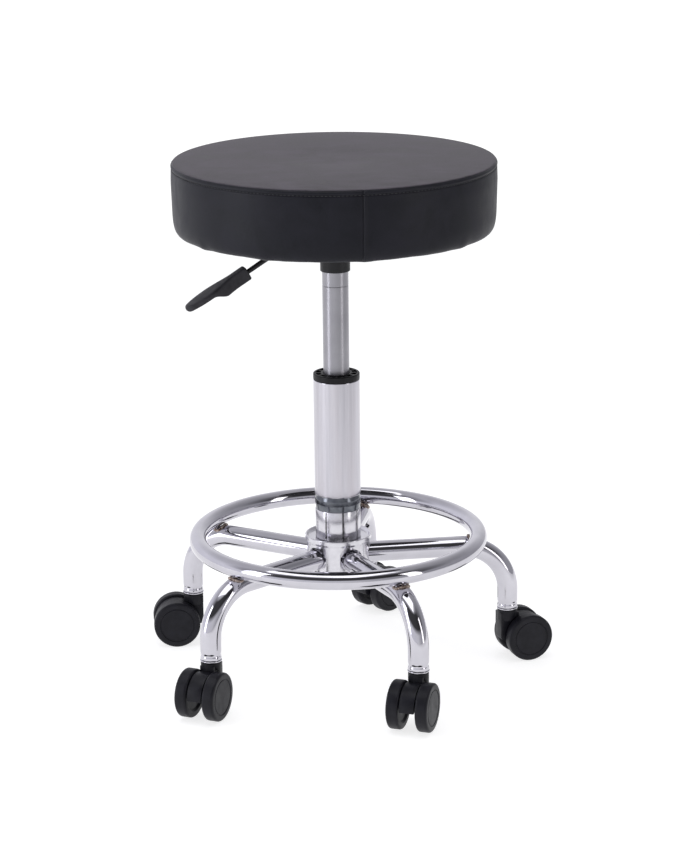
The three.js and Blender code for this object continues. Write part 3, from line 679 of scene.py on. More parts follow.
def make_thread():
    """Twisted sewing thread."""
    finish = Finish("seam_thread", (0.02, 0.02, 0.023), 0.6)
    twist = finish.noise(0.5, detail=1, stretch=(1, 1, 2.5))
    finish.paint(finish.tint(twist, (0.012, 0.012, 0.014), (0.045, 0.045, 0.05)))
    finish.emboss(twist, 0.05)
    return finish.material


def make_felt():
    """Thin non-woven cloth."""
    finish = Finish("underside_cloth", (0.015, 0.015, 0.016), 0.95)
    fibre = finish.noise(0.7, detail=6, distortion=2.0)
    finish.paint(finish.tint(fibre, (0.008, 0.008, 0.009), (0.035, 0.035, 0.037)))
    finish.emboss(fibre, 0.12)
    return finish.material


def make_plywood():
    """Raw veneer with its grain along X."""
    finish = Finish("plywood", (0.5, 0.34, 0.18), 0.75)
    grain = finish.noise(16, detail=6, stretch=(0.15, 2.0, 4.0))
    finish.paint(finish.tint(grain, (0.36, 0.22, 0.11), (0.62, 0.45, 0.26)))
    finish.emboss(grain, 0.1)
    return finish.material


def make_foam():
    """Open-cell foam."""
    finish = Finish("seat_foam", (0.72, 0.66, 0.45), 0.95)
    pores = finish.cells(1.4)
    finish.paint(finish.tint(pores, (0.55, 0.48, 0.3), (0.78, 0.72, 0.52), 0.0, 0.3))
    finish.emboss(pores, 0.3)
    return finish.material


def make_rubber():
    """Moulded black rubber."""
    finish = Finish("rubber", (0.02, 0.02, 0.02), 0.8)
    finish.emboss(finish.noise(0.8), 0.05)
    finish.paint(finish.tint(finish.noise(5), (0.012, 0.012, 0.012), (0.03, 0.03, 0.03)))
    return finish.material


CHROME = make_chrome()
SHROUD_CHROME = make_shroud_chrome()
SATIN_CHROME = make_satin_chrome()
PAINTED_DARK_REFLECTION_CHROME = make_painted_dark_reflection_chrome()
GROUND_STEEL = make_ground_steel()
ZINC = make_zinc()
WELD = make_weld()
BLACK_PAINT = make_painted_steel()
BUSH_PLASTIC = make_plastic("bush_nylon", (0.005, 0.005, 0.006), (0.011, 0.011, 0.012), 0.4)
CASTER_PLASTIC = make_plastic("caster_nylon", (0.006, 0.006, 0.009), (0.012, 0.012, 0.017), 0.42)
LEVER_PLASTIC = make_plastic("lever_nylon", (0.020, 0.020, 0.023), (0.040, 0.039, 0.045), 0.5, 0.5,
                             0.05)
# One leatherette for top and band: the top copy is painted lighter as lit from above, the band copy
# painted darker as shaded.
TOP_LEATHERETTE_PAINTED_LIT = make_leatherette("seat_top_leatherette_painted_lit", (0.022, 0.018, 0.023),
                                   (0.088, 0.078, 0.094), 44, 0.5, 0.24)
BAND_LEATHERETTE_PAINTED_SHADE = make_leatherette("seat_band_leatherette_painted_shade", (0.006, 0.0065, 0.010),
                                    (0.012, 0.012, 0.018), 40, 0.42, 0.17)
THREAD = make_thread()
FELT = make_felt()
PLYWOOD = make_plywood()
FOAM = make_foam()
RUBBER = make_rubber()

SLOT_MATERIALS = {
    "chrome": CHROME, "satin_steel": GROUND_STEEL, "zinc_steel": ZINC,
    "painted_steel": BLACK_PAINT, "black_plastic": BUSH_PLASTIC,
    "caster_plastic": CASTER_PLASTIC, "lever_plastic": LEVER_PLASTIC,
    "vinyl": BAND_LEATHERETTE_PAINTED_SHADE, "foam": FOAM, "plywood": PLYWOOD, "felt": FELT,
    "rubber": RUBBER,
}


def paint_cad_nodes():
    """Every CAD node takes the material of its slot, whether it shows or not."""
    for entry in frame["record"]["subparts"]:
        slots = frame["nodes"][entry["node"]].data.materials
        slots.clear()
        slots.append(SLOT_MATERIALS[entry["material_slot"]])


# ---------------------------------------------------------------- seat

SEAM_LEVEL = SEAT_TOP - SEAM_DROP
STITCH_LEVEL = SEAT_TOP - STITCH_DROP
COVER_LIP_RADIUS = 144.5
FINE_STEP = 0.9
COARSE_STEP = 4.5
TOP_STEP = 7.0
STITCH_PITCH = 4.2
COVER_WALL = 1.2
STEPS_ROUND_SEAT = 232


def seat_outline():
    """Outer surface of the cover from the middle of the top to its turned-in lip."""
    corners = [
        (0, SEAT_TOP),
        (SEAT_RADIUS - 20, SEAT_TOP - 0.4),
        (SEAT_RADIUS - 0.9, SEAM_LEVEL + 0.5),
        (SEAT_RADIUS - 0.3, SEAT_TOP - 24),
        (SEAT_RADIUS - 1.6, SEAT_BOTTOM + 14),
        (SEAT_RADIUS - 4.4, SEAT_BOTTOM + 0.2),
        (COVER_LIP_RADIUS, SEAT_BOTTOM + 0.6),
    ]
    return rounded(corners, [0, 60, 1.6, 90, 60, 8, 0], closed=False, steps=10)


def walked(outline):
    """The outline walked in steps: short ones across the seams, longer ones elsewhere."""
    points = [outline[0]]
    for end in outline[1:]:
        while (end - points[-1]).length > 1e-6:
            here = points[-1]
            on_band = here.x > SEAT_RADIUS - 6 and here.y > STITCH_LEVEL - 4
            under = here.x < SEAT_RADIUS - 6 and here.y < SEAT_BOTTOM + 4
            flat = here.x < SEAT_RADIUS - 12 and not under
            step = FINE_STEP if on_band else TOP_STEP if flat else COARSE_STEP
            gap = end - here
            if gap.length <= step:
                break
            points.append(here + gap.normalized() * step)
    points.append(outline[-1])
    return points


def seat_azimuths():
    """Even steps round the seat, with extra ones beside the upright seam."""
    fine = [UPRIGHT_SEAM + offset / SEAT_RADIUS for offset in
            (-6, -4.5, -3.2, -2.2, -1.4, -0.7, 0, 0.7, 1.4, 2.2, 3.2, 4.5, 6)]
    clear = 7 / SEAT_RADIUS
    coarse = [TAU * i / STEPS_ROUND_SEAT for i in range(STEPS_ROUND_SEAT)]
    coarse = [a for a in coarse if abs(a - UPRIGHT_SEAM) > clear]
    return sorted(coarse + fine)


def puffed(piece, pins, cap_mm, pressure):
    """Blows the cover against its pinned seams with a short cloth run, limited to cap_mm."""
    group = piece.vertex_groups.new(name="pins")
    for index, weight in pins.items():
        group.add([index], weight, "REPLACE")
    modifier = piece.modifiers.new("Cloth", "CLOTH")
    settings = modifier.settings
    settings.quality = 6
    settings.mass = 0.3
    settings.tension_stiffness = 60
    settings.compression_stiffness = 60
    settings.shear_stiffness = 30
    settings.bending_stiffness = 12
    settings.use_pressure = True
    settings.uniform_pressure_force = pressure
    settings.vertex_group_mass = "pins"
    settings.effector_weights.gravity = 0
    modifier.collision_settings.use_collision = False
    for step in range(1, 21):
        scene.frame_set(step)
    graph = bpy.context.evaluated_depsgraph_get()
    blown = [v.co.copy() for v in piece.evaluated_get(graph).data.vertices]
    piece.modifiers.clear()
    piece.vertex_groups.clear()
    scene.frame_set(1)
    for vertex, target in zip(piece.data.vertices, blown):
        move = target - vertex.co
        if move.length > cap_mm * MM:
            move = move.normalized() * cap_mm * MM
        vertex.co += move


def ridge(distance, width):
    """A smooth bump, 1 at no distance and falling away over the width."""
    return math.exp(-(distance / width) ** 2)


def dressed_point(co):
    """Moves one point of the cover for its seams, gathers and pleats. Millimetres."""
    flat = co - AXIS
    azimuth = math.atan2(flat.y, flat.x) % TAU
    radius = flat.xy.length
    outwards = Vector((flat.x, flat.y, 0)) / max(radius, 1e-6)
    push = 0.0
    lift = 0.0
    if radius > SEAT_RADIUS - 8:
        from_seam = math.hypot(radius - SEAT_RADIUS + 1.0, co.z - SEAM_LEVEL)
        push -= 1.0 * ridge(from_seam, 1.0)
        lift -= 0.6 * ridge(from_seam, 1.0)
        push -= 0.75 * ridge(co.z - STITCH_LEVEL, 0.8)
        push += 0.35 * ridge(co.z - (SEAM_LEVEL + STITCH_LEVEL) / 2, 1.8)
        across = ((azimuth - UPRIGHT_SEAM + math.pi) % TAU - math.pi) * radius
        on_band = 1 if co.z < SEAM_LEVEL else 0
        push -= on_band * 1.0 * ridge(across, 0.9)
        push += on_band * 0.55 * ridge(across - 2.2, 1.6)
        push -= on_band * 0.25 * ridge(across + 5, 4)
    for gather in GATHERS if co.z < SEAT_BOTTOM + 24 else ():
        across = ((azimuth - gather + math.pi) % TAU - math.pi) * radius
        low = ridge(co.z - SEAT_BOTTOM, 9)
        size = 0.6 + 0.5 * noise.noise(Vector((gather * 3, 0, 0)))
        lift -= 0.9 * size * low * ridge(across, 9)
        push += 0.9 * size * low * (ridge(across, 6) - 0.7 * ridge(across - 12, 7))
    low = ridge(co.z - SEAT_BOTTOM, 7)
    drift = noise.noise(Vector((math.cos(azimuth) * 3.5, math.sin(azimuth) * 3.5, 0.7)))
    lift += 0.9 * low * drift
    if co.z < SEAT_BOTTOM + 5 and radius < SEAT_RADIUS - 6:
        inwards = min(1.0, (SEAT_RADIUS - 6 - radius) / 14)
        spot = Vector((math.cos(azimuth) * 11, math.sin(azimuth) * 11, 4.2))
        lift += inwards * (1.1 * noise.noise(spot) + 0.5 * noise.noise(spot * 2.7))
    return co + outwards * push + Vector((0, 0, lift))


def make_seat_cover():
    """The padded cover: blown against its seams, then seamed, gathered and pleated."""
    outline = walked(seat_outline())
    bm = revolve(outline, 0, False, about_column(), seat_azimuths())
    piece = piece_from_bmesh("seat_upholstery", bm, [TOP_LEATHERETTE_PAINTED_LIT, BAND_LEATHERETTE_PAINTED_SHADE], 180)
    pins = {}
    for vertex in piece.data.vertices:
        at = vertex.co / MM - AXIS
        radius = at.xy.length
        seam = ridge(at.z - SEAM_LEVEL, 1.5) if radius > SEAT_RADIUS - 6 else 0
        stitched = ridge(at.z - STITCH_LEVEL, 1.5) if radius > SEAT_RADIUS - 6 else 0
        stapled = 1.0 if radius < COVER_LIP_RADIUS + 6 and at.z < SEAT_BOTTOM + 6 else 0
        middle = 0.6 * ridge(radius, 40) if at.z > SEAM_LEVEL else 0
        pins[vertex.index] = max(seam, stitched, stapled, middle)
    puffed(piece, pins, 2.2, 3.0)
    modifier = piece.modifiers.new("finer", "SUBSURF")
    modifier.levels = modifier.render_levels = 1
    baked(piece)
    for vertex in piece.data.vertices:
        vertex.co = dressed_point(vertex.co / MM) * MM
    # Top faces take the painted-lighter lit copy, band faces the painted-darker shaded copy.
    for face in piece.data.polygons:
        at = face.center / MM - AXIS
        inside = at.xy.length < SEAT_RADIUS - 9 and at.z > SEAM_LEVEL - 20
        face.material_index = 0 if at.z > SEAM_LEVEL - 0.2 or inside else 1
    piece.data.shade_smooth()
    walled(piece, COVER_WALL)
    piece.data.shade_smooth()
    settle(piece, "seat", "vinyl", "seat_cover")
    return piece


def stitch_tree(name, radius, level, count, length, thread):
    """Short capsules of thread laid end to end round a circle."""
    tree = Tree(name, {"Radius": radius, "Level": level, "Stitches": count,
                       "Length": length, "Thread": thread, "Material": THREAD})
    circle = tree.ring(tree["Stitches"], tree["Radius"])
    line = tree.node("GeometryNodeMeshToCurve", {"Mesh": circle})
    points = tree.node("GeometryNodeCurveToPoints", {"Curve": line}, mode="EVALUATED")
    body = tree.node("GeometryNodeMeshUVSphere", {"Segments": 6, "Rings": 4, "Radius": 0.5})
    shaped = tree.node("GeometryNodeTransform", {
        "Geometry": body,
        "Scale": tree.vector(tree["Thread"], tree["Thread"], tree["Length"])})
    laid = tree.strewn(points, shaped, points.outputs["Rotation"])
    tree.finish(tree.raised(laid, tree["Level"]))
    return tree


def make_seam_stitches():
    """The stitched line round the side band."""
    count = int(TAU * SEAT_RADIUS / STITCH_PITCH)
    tree = stitch_tree("band_stitches", SEAT_RADIUS - 1.15, STITCH_LEVEL, count, 3.4, 0.75)
    piece = tree.grow("band_stitches")
    return settle(piece, "seat", "vinyl")


def make_underside():
    """Cloth under the board, with the staples that hold the cover's lip."""
    low, high = node_span("dust_cover", 2)
    radius = node_radius("dust_cover")
    profile = [(0, low)] + [(radius * k / 40, low) for k in range(1, 41)]
    bm = revolve(profile, 120, False, about_column())
    for vertex in bm.verts:
        from_edge = radius - (vertex.co - AXIS).xy.length
        spot = Vector((vertex.co.x, vertex.co.y, 0)) / 24
        vertex.co.z += 0.12 + 0.3 * noise.noise(spot) * min(1, from_edge / 20)
    piece = piece_from_bmesh("underside_cloth", bm, [FELT], 180)
    walled(piece, high - low)
    settle(piece, "seat", "felt", "dust_cover")
    staples = staple_tree()
    settle(staples.grow("lip_staples", smooth_degrees=20), "seat", "zinc_steel")


def staple_tree():
    """Wire staples laid round the cover's lip, each a little askew."""
    tree = Tree("staples", {"Radius": 151.0, "Level": SEAT_BOTTOM - 0.1, "Staples": 40,
                            "Crown": 10.0, "Wire": 0.9, "Seed": 7, "Material": ZINC})
    ring = tree.ring(tree["Staples"], tree["Radius"])
    crown = tree.node("GeometryNodeMeshCube", {
        "Size": tree.vector(tree["Wire"], tree["Crown"], tree["Wire"])})
    askew = tree.node("FunctionNodeRandomValue",
                      {"Min": -0.25, "Max": 0.25, "Seed": tree["Seed"]},
                      data_type="FLOAT")
    scalar = [s for s in askew.outputs if s.type == "VALUE" and s.enabled][0]
    turn = tree.vector(z=tree.math("ADD", tree.azimuth(), scalar))
    laid = tree.strewn(ring, crown, turn)
    tree.finish(tree.raised(laid, tree["Level"]))
    return tree


# ---------------------------------------------------------------- column and gas lift

def make_column():
    """Tapered foot, a swell above the sleeve in chrome darkened as a painted dark reflection, and
    the straight shroud with its lip.
    """
    def foot_radius(z):
        return COLUMN_RADIUS - 0.7 - TAPER_SLOPE * (SHROUD_FOOT - z)

    wall = 1.6
    outline = [
        (5.35, COLUMN_FOOT), (foot_radius(COLUMN_FOOT), COLUMN_FOOT),
        (SLEEVE_RADIUS - 0.6, SLEEVE_TOP + 0.1), (COLUMN_RADIUS - 0.2, SLEEVE_TOP + 6.5),
        (COLUMN_RADIUS - 0.3, SLEEVE_TOP + 12), (COLUMN_RADIUS - 1.5, SHROUD_FOOT - 0.4),
        (COLUMN_RADIUS, SHROUD_FOOT + 0.4),
        (COLUMN_RADIUS, COLUMN_TOP),
        (COLUMN_RADIUS - wall, COLUMN_TOP),
        (COLUMN_RADIUS - wall, SHROUD_FOOT + 2.4),
        (foot_radius(COLUMN_FOOT) - wall, COLUMN_FOOT + 3),
        (5.35, COLUMN_FOOT + 3),
    ]
    radii = [0.3, 0.8, 0.5, 8, 6, 0.3, 0.9, 0.5, 0.3, 1, 1, 0.3]
    piece = turned_piece("column_shroud", outline, radii, SHROUD_CHROME, sides=128)
    # The swell's faces take the darkened chrome: a painted dark reflection.
    piece.data.materials.append(PAINTED_DARK_REFLECTION_CHROME)
    for face in piece.data.polygons:
        if SLEEVE_TOP < face.center.z / MM < SHROUD_FOOT - 0.1:
            face.material_index = 1
    settle(piece, "base", "chrome", "column_tube")


def make_cylinder():
    """Gas cylinder with a fine groove under its tapered grip."""
    low, high = node_span("gas_cylinder", 2)
    radius = node_radius("gas_cylinder")
    grip, groove = high - 27, high - 42.5
    well = high - 10
    outline = [
        (0, low), (radius, low), (radius, groove - 0.5), (radius - 0.35, groove),
        (radius, groove + 0.5), (radius, grip), (radius - 0.9, high), (3.4, high),
        (3.4, well), (0, well),
    ]
    radii = [0, 1.0, 0.2, 0.2, 0.2, 3, 0.8, 0.3, 0, 0]
    piece = turned_piece("lift_cylinder", outline, radii, GROUND_STEEL, closed=False)
    settle(piece, "seat", "satin_steel", "gas_cylinder")


def make_piston_rod():
    """Rod with a clip groove at its foot and the piston on its top."""
    low, high = node_span("piston_rod", 2)
    neck = COLUMN_FOOT - 0.3
    outline = [
        (0, low), (5, low), (5, neck - 2), (4, neck - 2), (4, neck), (5, neck),
        (5, high - 12), (11.6, high - 12), (11.6, high), (0, high),
    ]
    piece = turned_piece("lift_rod", outline, 0.4, GROUND_STEEL, closed=False, sides=64)
    settle(piece, "piston", "satin_steel", "piston_rod")


def rib_tree(count, inner, outer, width, height, top):
    """Radial ribs that part the trench of the guide bush into pockets."""
    tree = Tree("bush_ribs", {"Ribs": count, "Inner radius": inner, "Outer radius": outer,
                              "Width": width, "Height": height, "Top": top,
                              "Material": BUSH_PLASTIC})
    reach = tree.math("SUBTRACT", tree["Outer radius"], tree["Inner radius"])
    middle = tree.math("MULTIPLY",
                       tree.math("ADD", tree["Outer radius"], tree["Inner radius"]),
                       0.5)
    half = tree.math("MULTIPLY", tree["Height"], 0.5)
    level = tree.math("SUBTRACT", tree["Top"], half)
    rib = tree.node("GeometryNodeMeshCube", {
        "Size": tree.vector(reach, tree["Width"], tree["Height"])})
    ring = tree.ring(tree["Ribs"], middle)
    laid = tree.strewn(ring, rib, tree.vector(z=tree.azimuth()))
    tree.finish(tree.raised(laid, level))
    return tree


def make_guide_bush():
    """Bush in the column's mouth, its cap trenched and ribbed."""
    low, high = node_span("guide_bush", 2)
    bore, shoulder = 14.35, COLUMN_TOP + 0.3
    inner, outer, depth = 17.05, 22.3, 4.5
    outline = [
        (bore, low), (COLUMN_RADIUS - 1.9, low), (COLUMN_RADIUS - 1.9, shoulder),
        (COLUMN_RADIUS, shoulder), (COLUMN_RADIUS, high), (outer, high),
        (outer, high - depth), (inner, high - depth), (inner, high), (bore, high),
    ]
    radii = [0.5, 0.5, 0.2, 0.6, 1.1, 0.5, 0.3, 0.3, 0.5, 0.6]
    piece = turned_piece("guide_bush_cap", outline, radii, BUSH_PLASTIC, sides=112)
    settle(piece, "base", "black_plastic", "guide_bush")
    ribs = rib_tree(12, inner - 0.3, outer + 0.3, 2.2, depth, high - 0.35)
    settle(ribs.grow("guide_bush_ribs", smooth_degrees=20), "base", "black_plastic")


# ---------------------------------------------------------------- base

def leg_turn(index):
    """Azimuth of a leg, in radians."""
    offset = joint_place(f"caster_{index}_swivel") - AXIS
    return math.atan2(offset.y, offset.x)


LEG_REACH = (joint_place("caster_1_swivel") - AXIS).xy.length


def make_hub():
    """Pressed hub: a core round the column, a skirt with a window for each leg, a lipped top."""
    low, high = node_span("hub", 2)
    skirt, wall, flare = HUB_RADIUS - 1.7, 2.0, 1.7
    core = skirt - 8.6
    bore = core - 2.5
    under = HUB_PLATE - 3.5
    outline = [
        (bore - 0.9, low), (core, low), (core, under), (skirt - wall, under),
        (skirt - wall, HUB_FOOT), (skirt, HUB_FOOT), (skirt, under - 0.6),
        (HUB_RADIUS, under + flare), (HUB_RADIUS, high), (HUB_RADIUS - flare, high),
        (HUB_RADIUS - 2 * flare, HUB_PLATE), (bore + 0.15, HUB_PLATE),
    ]
    radii = [0.3, 0.4, 1.5, 1.2, 0.5, 0.5, 1.2, 0.9, 0.7, 0.7, 1.4, 0.3]
    hub = raw_object("leg_hub", revolve(rounded(outline, radii), 128, True, about_column()))
    windows = []
    for index in CASTERS:
        tool = revolve([(0, -7), (13.5, -7), (13.5, 7), (0, 7)], 64, False,
                       about_column(leg_turn(index)) @ lying(core + 8, LEG_LEVEL, "Y"))
        windows.append(raw_object("window", tool))
    carve(hub, windows)
    bevelled(hub, 0.35, SATIN_CHROME, 2)
    settle(hub, "base", "chrome", "hub")


def sleeve_tree():
    """A short tube with slits cut through it all round."""
    tree = Tree("slotted_sleeve", {
        "Outer radius": SLEEVE_RADIUS, "Wall": 1.9, "Height": SLEEVE_TOP - SLEEVE_FOOT,
        "Slits": SLIT_COUNT, "Slit width": SLIT_WIDTH, "Bridge": 0.8, "Material": CHROME})
    inner = tree.math("SUBTRACT", tree["Outer radius"], tree["Wall"])
    tall = tree.math("MULTIPLY", tree["Height"], 2.0)
    outside = tree.node("GeometryNodeMeshCylinder", {
        "Vertices": 160, "Radius": tree["Outer radius"], "Depth": tree["Height"]})
    inside = tree.node("GeometryNodeMeshCylinder",
                       {"Vertices": 160, "Radius": inner, "Depth": tall})
    bridges = tree.math("MULTIPLY", tree["Bridge"], 2.0)
    opening = tree.math("SUBTRACT", tree["Height"], bridges)
    slit = tree.node("GeometryNodeMeshCube", {
        "Size": tree.vector(10.0, tree["Slit width"], opening)})
    ring = tree.ring(tree["Slits"], tree["Outer radius"])
    slits = tree.strewn(ring, slit, tree.vector(z=tree.azimuth()))
    cutters = tree.joined(inside, slits)
    real = tree.node("GeometryNodeRealizeInstances", {"Geometry": cutters})
    wall = tree.node("GeometryNodeMeshBoolean", {"Mesh 1": outside, "Mesh 2": real},
                     operation="DIFFERENCE", solver="EXACT")
    tree.finish(wall)
    return tree


def make_sleeve():
    """The slotted sleeve, standing on the hub."""
    middle = (SLEEVE_FOOT + SLEEVE_TOP) / 2
    place = about_column(SLIT_PHASE) @ Matrix.Translation((0, 0, middle))
    piece = sleeve_tree().grow("slotted_collar", place, 30)
    bevelled(piece, 0.25, SATIN_CHROME, 2, 30)
    settle(piece, "base", "chrome", "slotted_sleeve")


def make_leg(index):
    """Bent tube from the hub's core to the caster, necked in above its rolled end."""
    start = Vector((HUB_RADIUS - 9.4, 0, LEG_LEVEL))
    bend = Vector((LEG_REACH - LEG_BEND, 0, LEG_LEVEL - LEG_BEND))
    points = [start.lerp(Vector((bend.x, 0, LEG_LEVEL)), step / 6) for step in range(6)]
    for step in range(33):
        turn = math.pi / 2 * (1 - step / 32)
        points.append(bend + LEG_BEND * Vector((math.cos(turn), 0, math.sin(turn))))
    above_foot = (12, 9, 7.6, 7.0, 6.2, 5.0, 4.2, 3.4, 2.6, 1.8, 1.0, 0.5, 0.15, 0)
    points += [Vector((LEG_REACH, 0, LEG_FOOT + height)) for height in above_foot]

    def radius_at(i):
        height = points[i].z - LEG_FOOT
        if height > 20:
            return LEG_RADIUS
        neck = 0.65 * ridge(height - 5.4, 1.7)
        rolled = 0.5 * max(0, 1 - height / 0.6) ** 2
        return LEG_RADIUS - neck - rolled

    bm = sweep(points, radius_at, 48, about_column(leg_turn(index)))
    piece = piece_from_bmesh(f"base_leg_{index}", bm, [CHROME], 45)
    settle(piece, "base", "chrome", f"leg_{index}")


def ring_tree():
    """The foot ring: a round tube bent round the column."""
    tree = Tree("foot_ring", {"Ring radius": RING_RADIUS, "Tube radius": RING_TUBE,
                              "Level": RING_LEVEL, "Material": CHROME})
    path = tree.node("GeometryNodeCurvePrimitiveCircle",
                     {"Resolution": 192, "Radius": tree["Ring radius"]}, mode="RADIUS")
    tube = tree.node("GeometryNodeCurvePrimitiveCircle",
                     {"Resolution": 40, "Radius": tree["Tube radius"]}, mode="RADIUS")
    swept = tree.node("GeometryNodeCurveToMesh", {"Curve": path, "Profile Curve": tube})
    tree.finish(tree.raised(swept, tree["Level"]))
    return tree


def make_foot_ring():
    """The foot ring as one piece."""
    piece = ring_tree().grow("base_foot_ring", smooth_degrees=60)
    settle(piece, "base", "chrome", "foot_ring")


def weld_tree():
    """Overlapping drops of weld round the crease between two crossing tubes."""
    tree = Tree("weld_bead", {"Along": 6.4, "Across": 8.2, "Drops": 26, "Drop size": 1.9,
                              "Fall across": 0.05, "Rise along": 0.02, "Seed": 3,
                              "Material": WELD})
    ring = tree.ring(tree["Drops"], 1.0)
    stretched = tree.node("GeometryNodeTransform", {
        "Geometry": ring,
        "Scale": tree.vector(tree["Along"], tree["Across"], 1.0)})
    apart = tree.node("ShaderNodeSeparateXYZ",
                      {0: tree.node("GeometryNodeInputPosition").outputs[0]})
    along, across = apart.outputs["X"], apart.outputs["Y"]
    fall = tree.math("MULTIPLY", tree.math("MULTIPLY", across, across),
                     tree["Fall across"])
    rise = tree.math("MULTIPLY", tree.math("MULTIPLY", along, along), tree["Rise along"])
    shift = tree.vector(0.0, 0.0, tree.math("SUBTRACT", rise, fall))
    creased = tree.node("GeometryNodeSetPosition", {"Geometry": stretched, "Offset": shift})
    drop = tree.node("GeometryNodeMeshIcoSphere",
                     {"Radius": tree["Drop size"], "Subdivisions": 3})
    size = tree.node("FunctionNodeRandomValue",
                     {"Min": (0.75, 0.75, 0.6), "Max": (1.15, 1.15, 0.9),
                      "Seed": tree["Seed"]}, data_type="FLOAT_VECTOR")
    laid = tree.node("GeometryNodeInstanceOnPoints", {
        "Points": creased, "Instance": drop, "Scale": size.outputs[0]})
    tree.finish(laid)
    return tree


def make_welds():
    """One bead on each leg, where the foot ring rests on the bend."""
    tree = weld_tree()
    bend = Vector((LEG_REACH - LEG_BEND, 0, LEG_LEVEL - LEG_BEND))
    outwards = (Vector((RING_RADIUS, 0, RING_LEVEL)) - bend).normalized()
    contact = bend + outwards * (LEG_BEND + LEG_RADIUS)
    lean = math.atan2(outwards.x, outwards.z)
    for index in CASTERS:
        place = (about_column(leg_turn(index)) @ Matrix.Translation(contact)
                 @ Matrix.Rotation(lean, 4, "Y"))
        settle(tree.grow(f"ring_weld_{index}", place, 60), "base", "chrome")


# ---------------------------------------------------------------- casters

def caster_frame(index):
    """Local +X runs from the swivel axis to the axle, the floor is z = 0."""
    swivel = joint_place(f"caster_{index}_swivel")
    trail = joint_place(f"caster_{index}_left_spin") - swivel
    turn = Matrix.Rotation(math.atan2(trail.y, trail.x), 4, "Z")
    return Matrix.Translation((swivel.x, swivel.y, 0)) @ turn


TRAIL = (joint_place("caster_1_left_spin") - joint_place("caster_1_swivel")).xy.length


def arc(radius, start, end, steps, centre=(TRAIL, WHEEL_RADIUS)):
    """Points of an arc in the caster's XZ plane, angles in degrees."""
    angles = [math.radians(start + (end - start) * i / steps) for i in range(steps + 1)]
    return [(centre[0] + radius * math.cos(a), centre[1] + radius * math.sin(a))
            for a in angles]


def caster_body():
    """Neck, solid front and the hood that curves back between the wheels, in the caster's frame."""
    half = HOOD_WIDTH / 2
    outer = WHEEL_RADIUS - 2.2
    front = NECK_RADIUS - 0.4
    side = arc(outer, 0, 112, 40)
    side += [(front, NECK_TOP - 3.2), (-front, NECK_TOP - 3.2), (-front, WHEEL_RADIUS),
             (-front + 1.3, WHEEL_RADIUS - 2.4), (0, WHEEL_RADIUS - 6.6)]
    side += arc(7, -100, 90, 16)
    side += arc(outer - 3, 113, 0, 40)
    neck = rounded([(0, NECK_TOP - 12), (NECK_RADIUS, NECK_TOP - 12), (NECK_RADIUS, NECK_TOP),
                    (5.9, NECK_TOP), (5.9, NECK_TOP - 6), (0, NECK_TOP - 6)],
                   [0, 0.3, 0.9, 0.3, 0, 0], closed=False)
    body = raw_object("caster_body", extruded_slab(side, HOOD_WIDTH, Matrix()))
    carve(body, [raw_object("neck", revolve(neck, 64, False))], "UNION")
    lie_down = lying(TRAIL, WHEEL_RADIUS)
    reach = NECK_RADIUS / 2
    arch = [(0, -reach), (WHEEL_RADIUS + 1.2, -reach), (WHEEL_RADIUS + 1.2, reach), (0, reach)]
    arches = []
    for way in (-1, 1):
        shift = Matrix.Translation((0, 0, way * (half + reach + 0.35)))
        arches.append(raw_object("arch", revolve(arch, 96, False, lie_down @ shift)))
    carve(body, arches)
    return bevelled(body, 0.45, CASTER_PLASTIC, 3)


def make_caster_bodies():
    """Five copies of one body, each turned the way its caster trails."""
    pattern = caster_body()
    for index in CASTERS:
        piece = new_object(f"caster_{index}_body", pattern.data.copy())
        piece.data.transform(Matrix.Scale(MM, 4) @ caster_frame(index)
                             @ Matrix.Scale(1 / MM, 4))
        settle(piece, f"caster_{index}", "caster_plastic", f"caster_{index}_housing")
    bpy.data.objects.remove(pattern)


def make_wheel(index, side):
    """A moulded wheel: full round edges, a groove round the outer disc, a dished inner face."""
    sign = 1 if side == "left" else -1
    profile = held_flat(rounded([
        (0, WHEEL_IN + 1.2), (6, WHEEL_IN + 1.2), (6, WHEEL_IN + 2.2), (17, WHEEL_IN + 2.2),
        (19.5, WHEEL_IN), (WHEEL_RADIUS, WHEEL_IN), (WHEEL_RADIUS, WHEEL_OUT),
        (19.6, WHEEL_OUT), (19.2, WHEEL_OUT - 0.7), (18.5, WHEEL_OUT - 0.7),
        (18.1, WHEEL_OUT - 0.15), (0, WHEEL_OUT - 0.15),
    ], [0, 0.4, 0.4, 0.8, 0.8, 2.4, 2.6, 0.4, 0.2, 0.2, 0.4, 0], closed=False, steps=6), False)
    lie_down = lying(TRAIL, WHEEL_RADIUS, turn=-sign * math.pi / 2)
    bm = revolve(profile, 96, False, caster_frame(index) @ lie_down)
    name = f"caster_{index}_{side}"
    piece = piece_from_bmesh(f"{name}_wheel", bm, [CASTER_PLASTIC])
    settle(piece, name, "caster_plastic", f"caster_{index}_wheel_{side}")


def make_socket(index):
    """Chromed ferrule pressed into the leg, its lip under the tube's end."""
    low, high = node_span(f"caster_{index}_socket", 2)
    lip = LEG_RADIUS + 0.4
    sleeve = LEG_RADIUS - 2.1
    outline = [(5.8, low), (lip, low), (lip, low + 1.5), (sleeve, low + 1.5), (sleeve, high),
               (5.8, high)]
    piece = turned_piece(f"leg_ferrule_{index}", outline, [0.3, 0.5, 0.5, 0.2, 0.3, 0.3],
                         CHROME, sides=64, place=caster_frame(index))
    settle(piece, "base", "chrome", f"caster_{index}_socket")


# ---------------------------------------------------------------- release lever and mounting

LEVER_FRAME = about_column(LEVER_TURN)
LEVER_LEVEL = joint_place("lever_pull").z + 4.5
LEVER_SLOPE = math.radians(30)
HANDLE_START = 98.0
HANDLE_DROP = 27.4
LEVER_BEND = 12.0


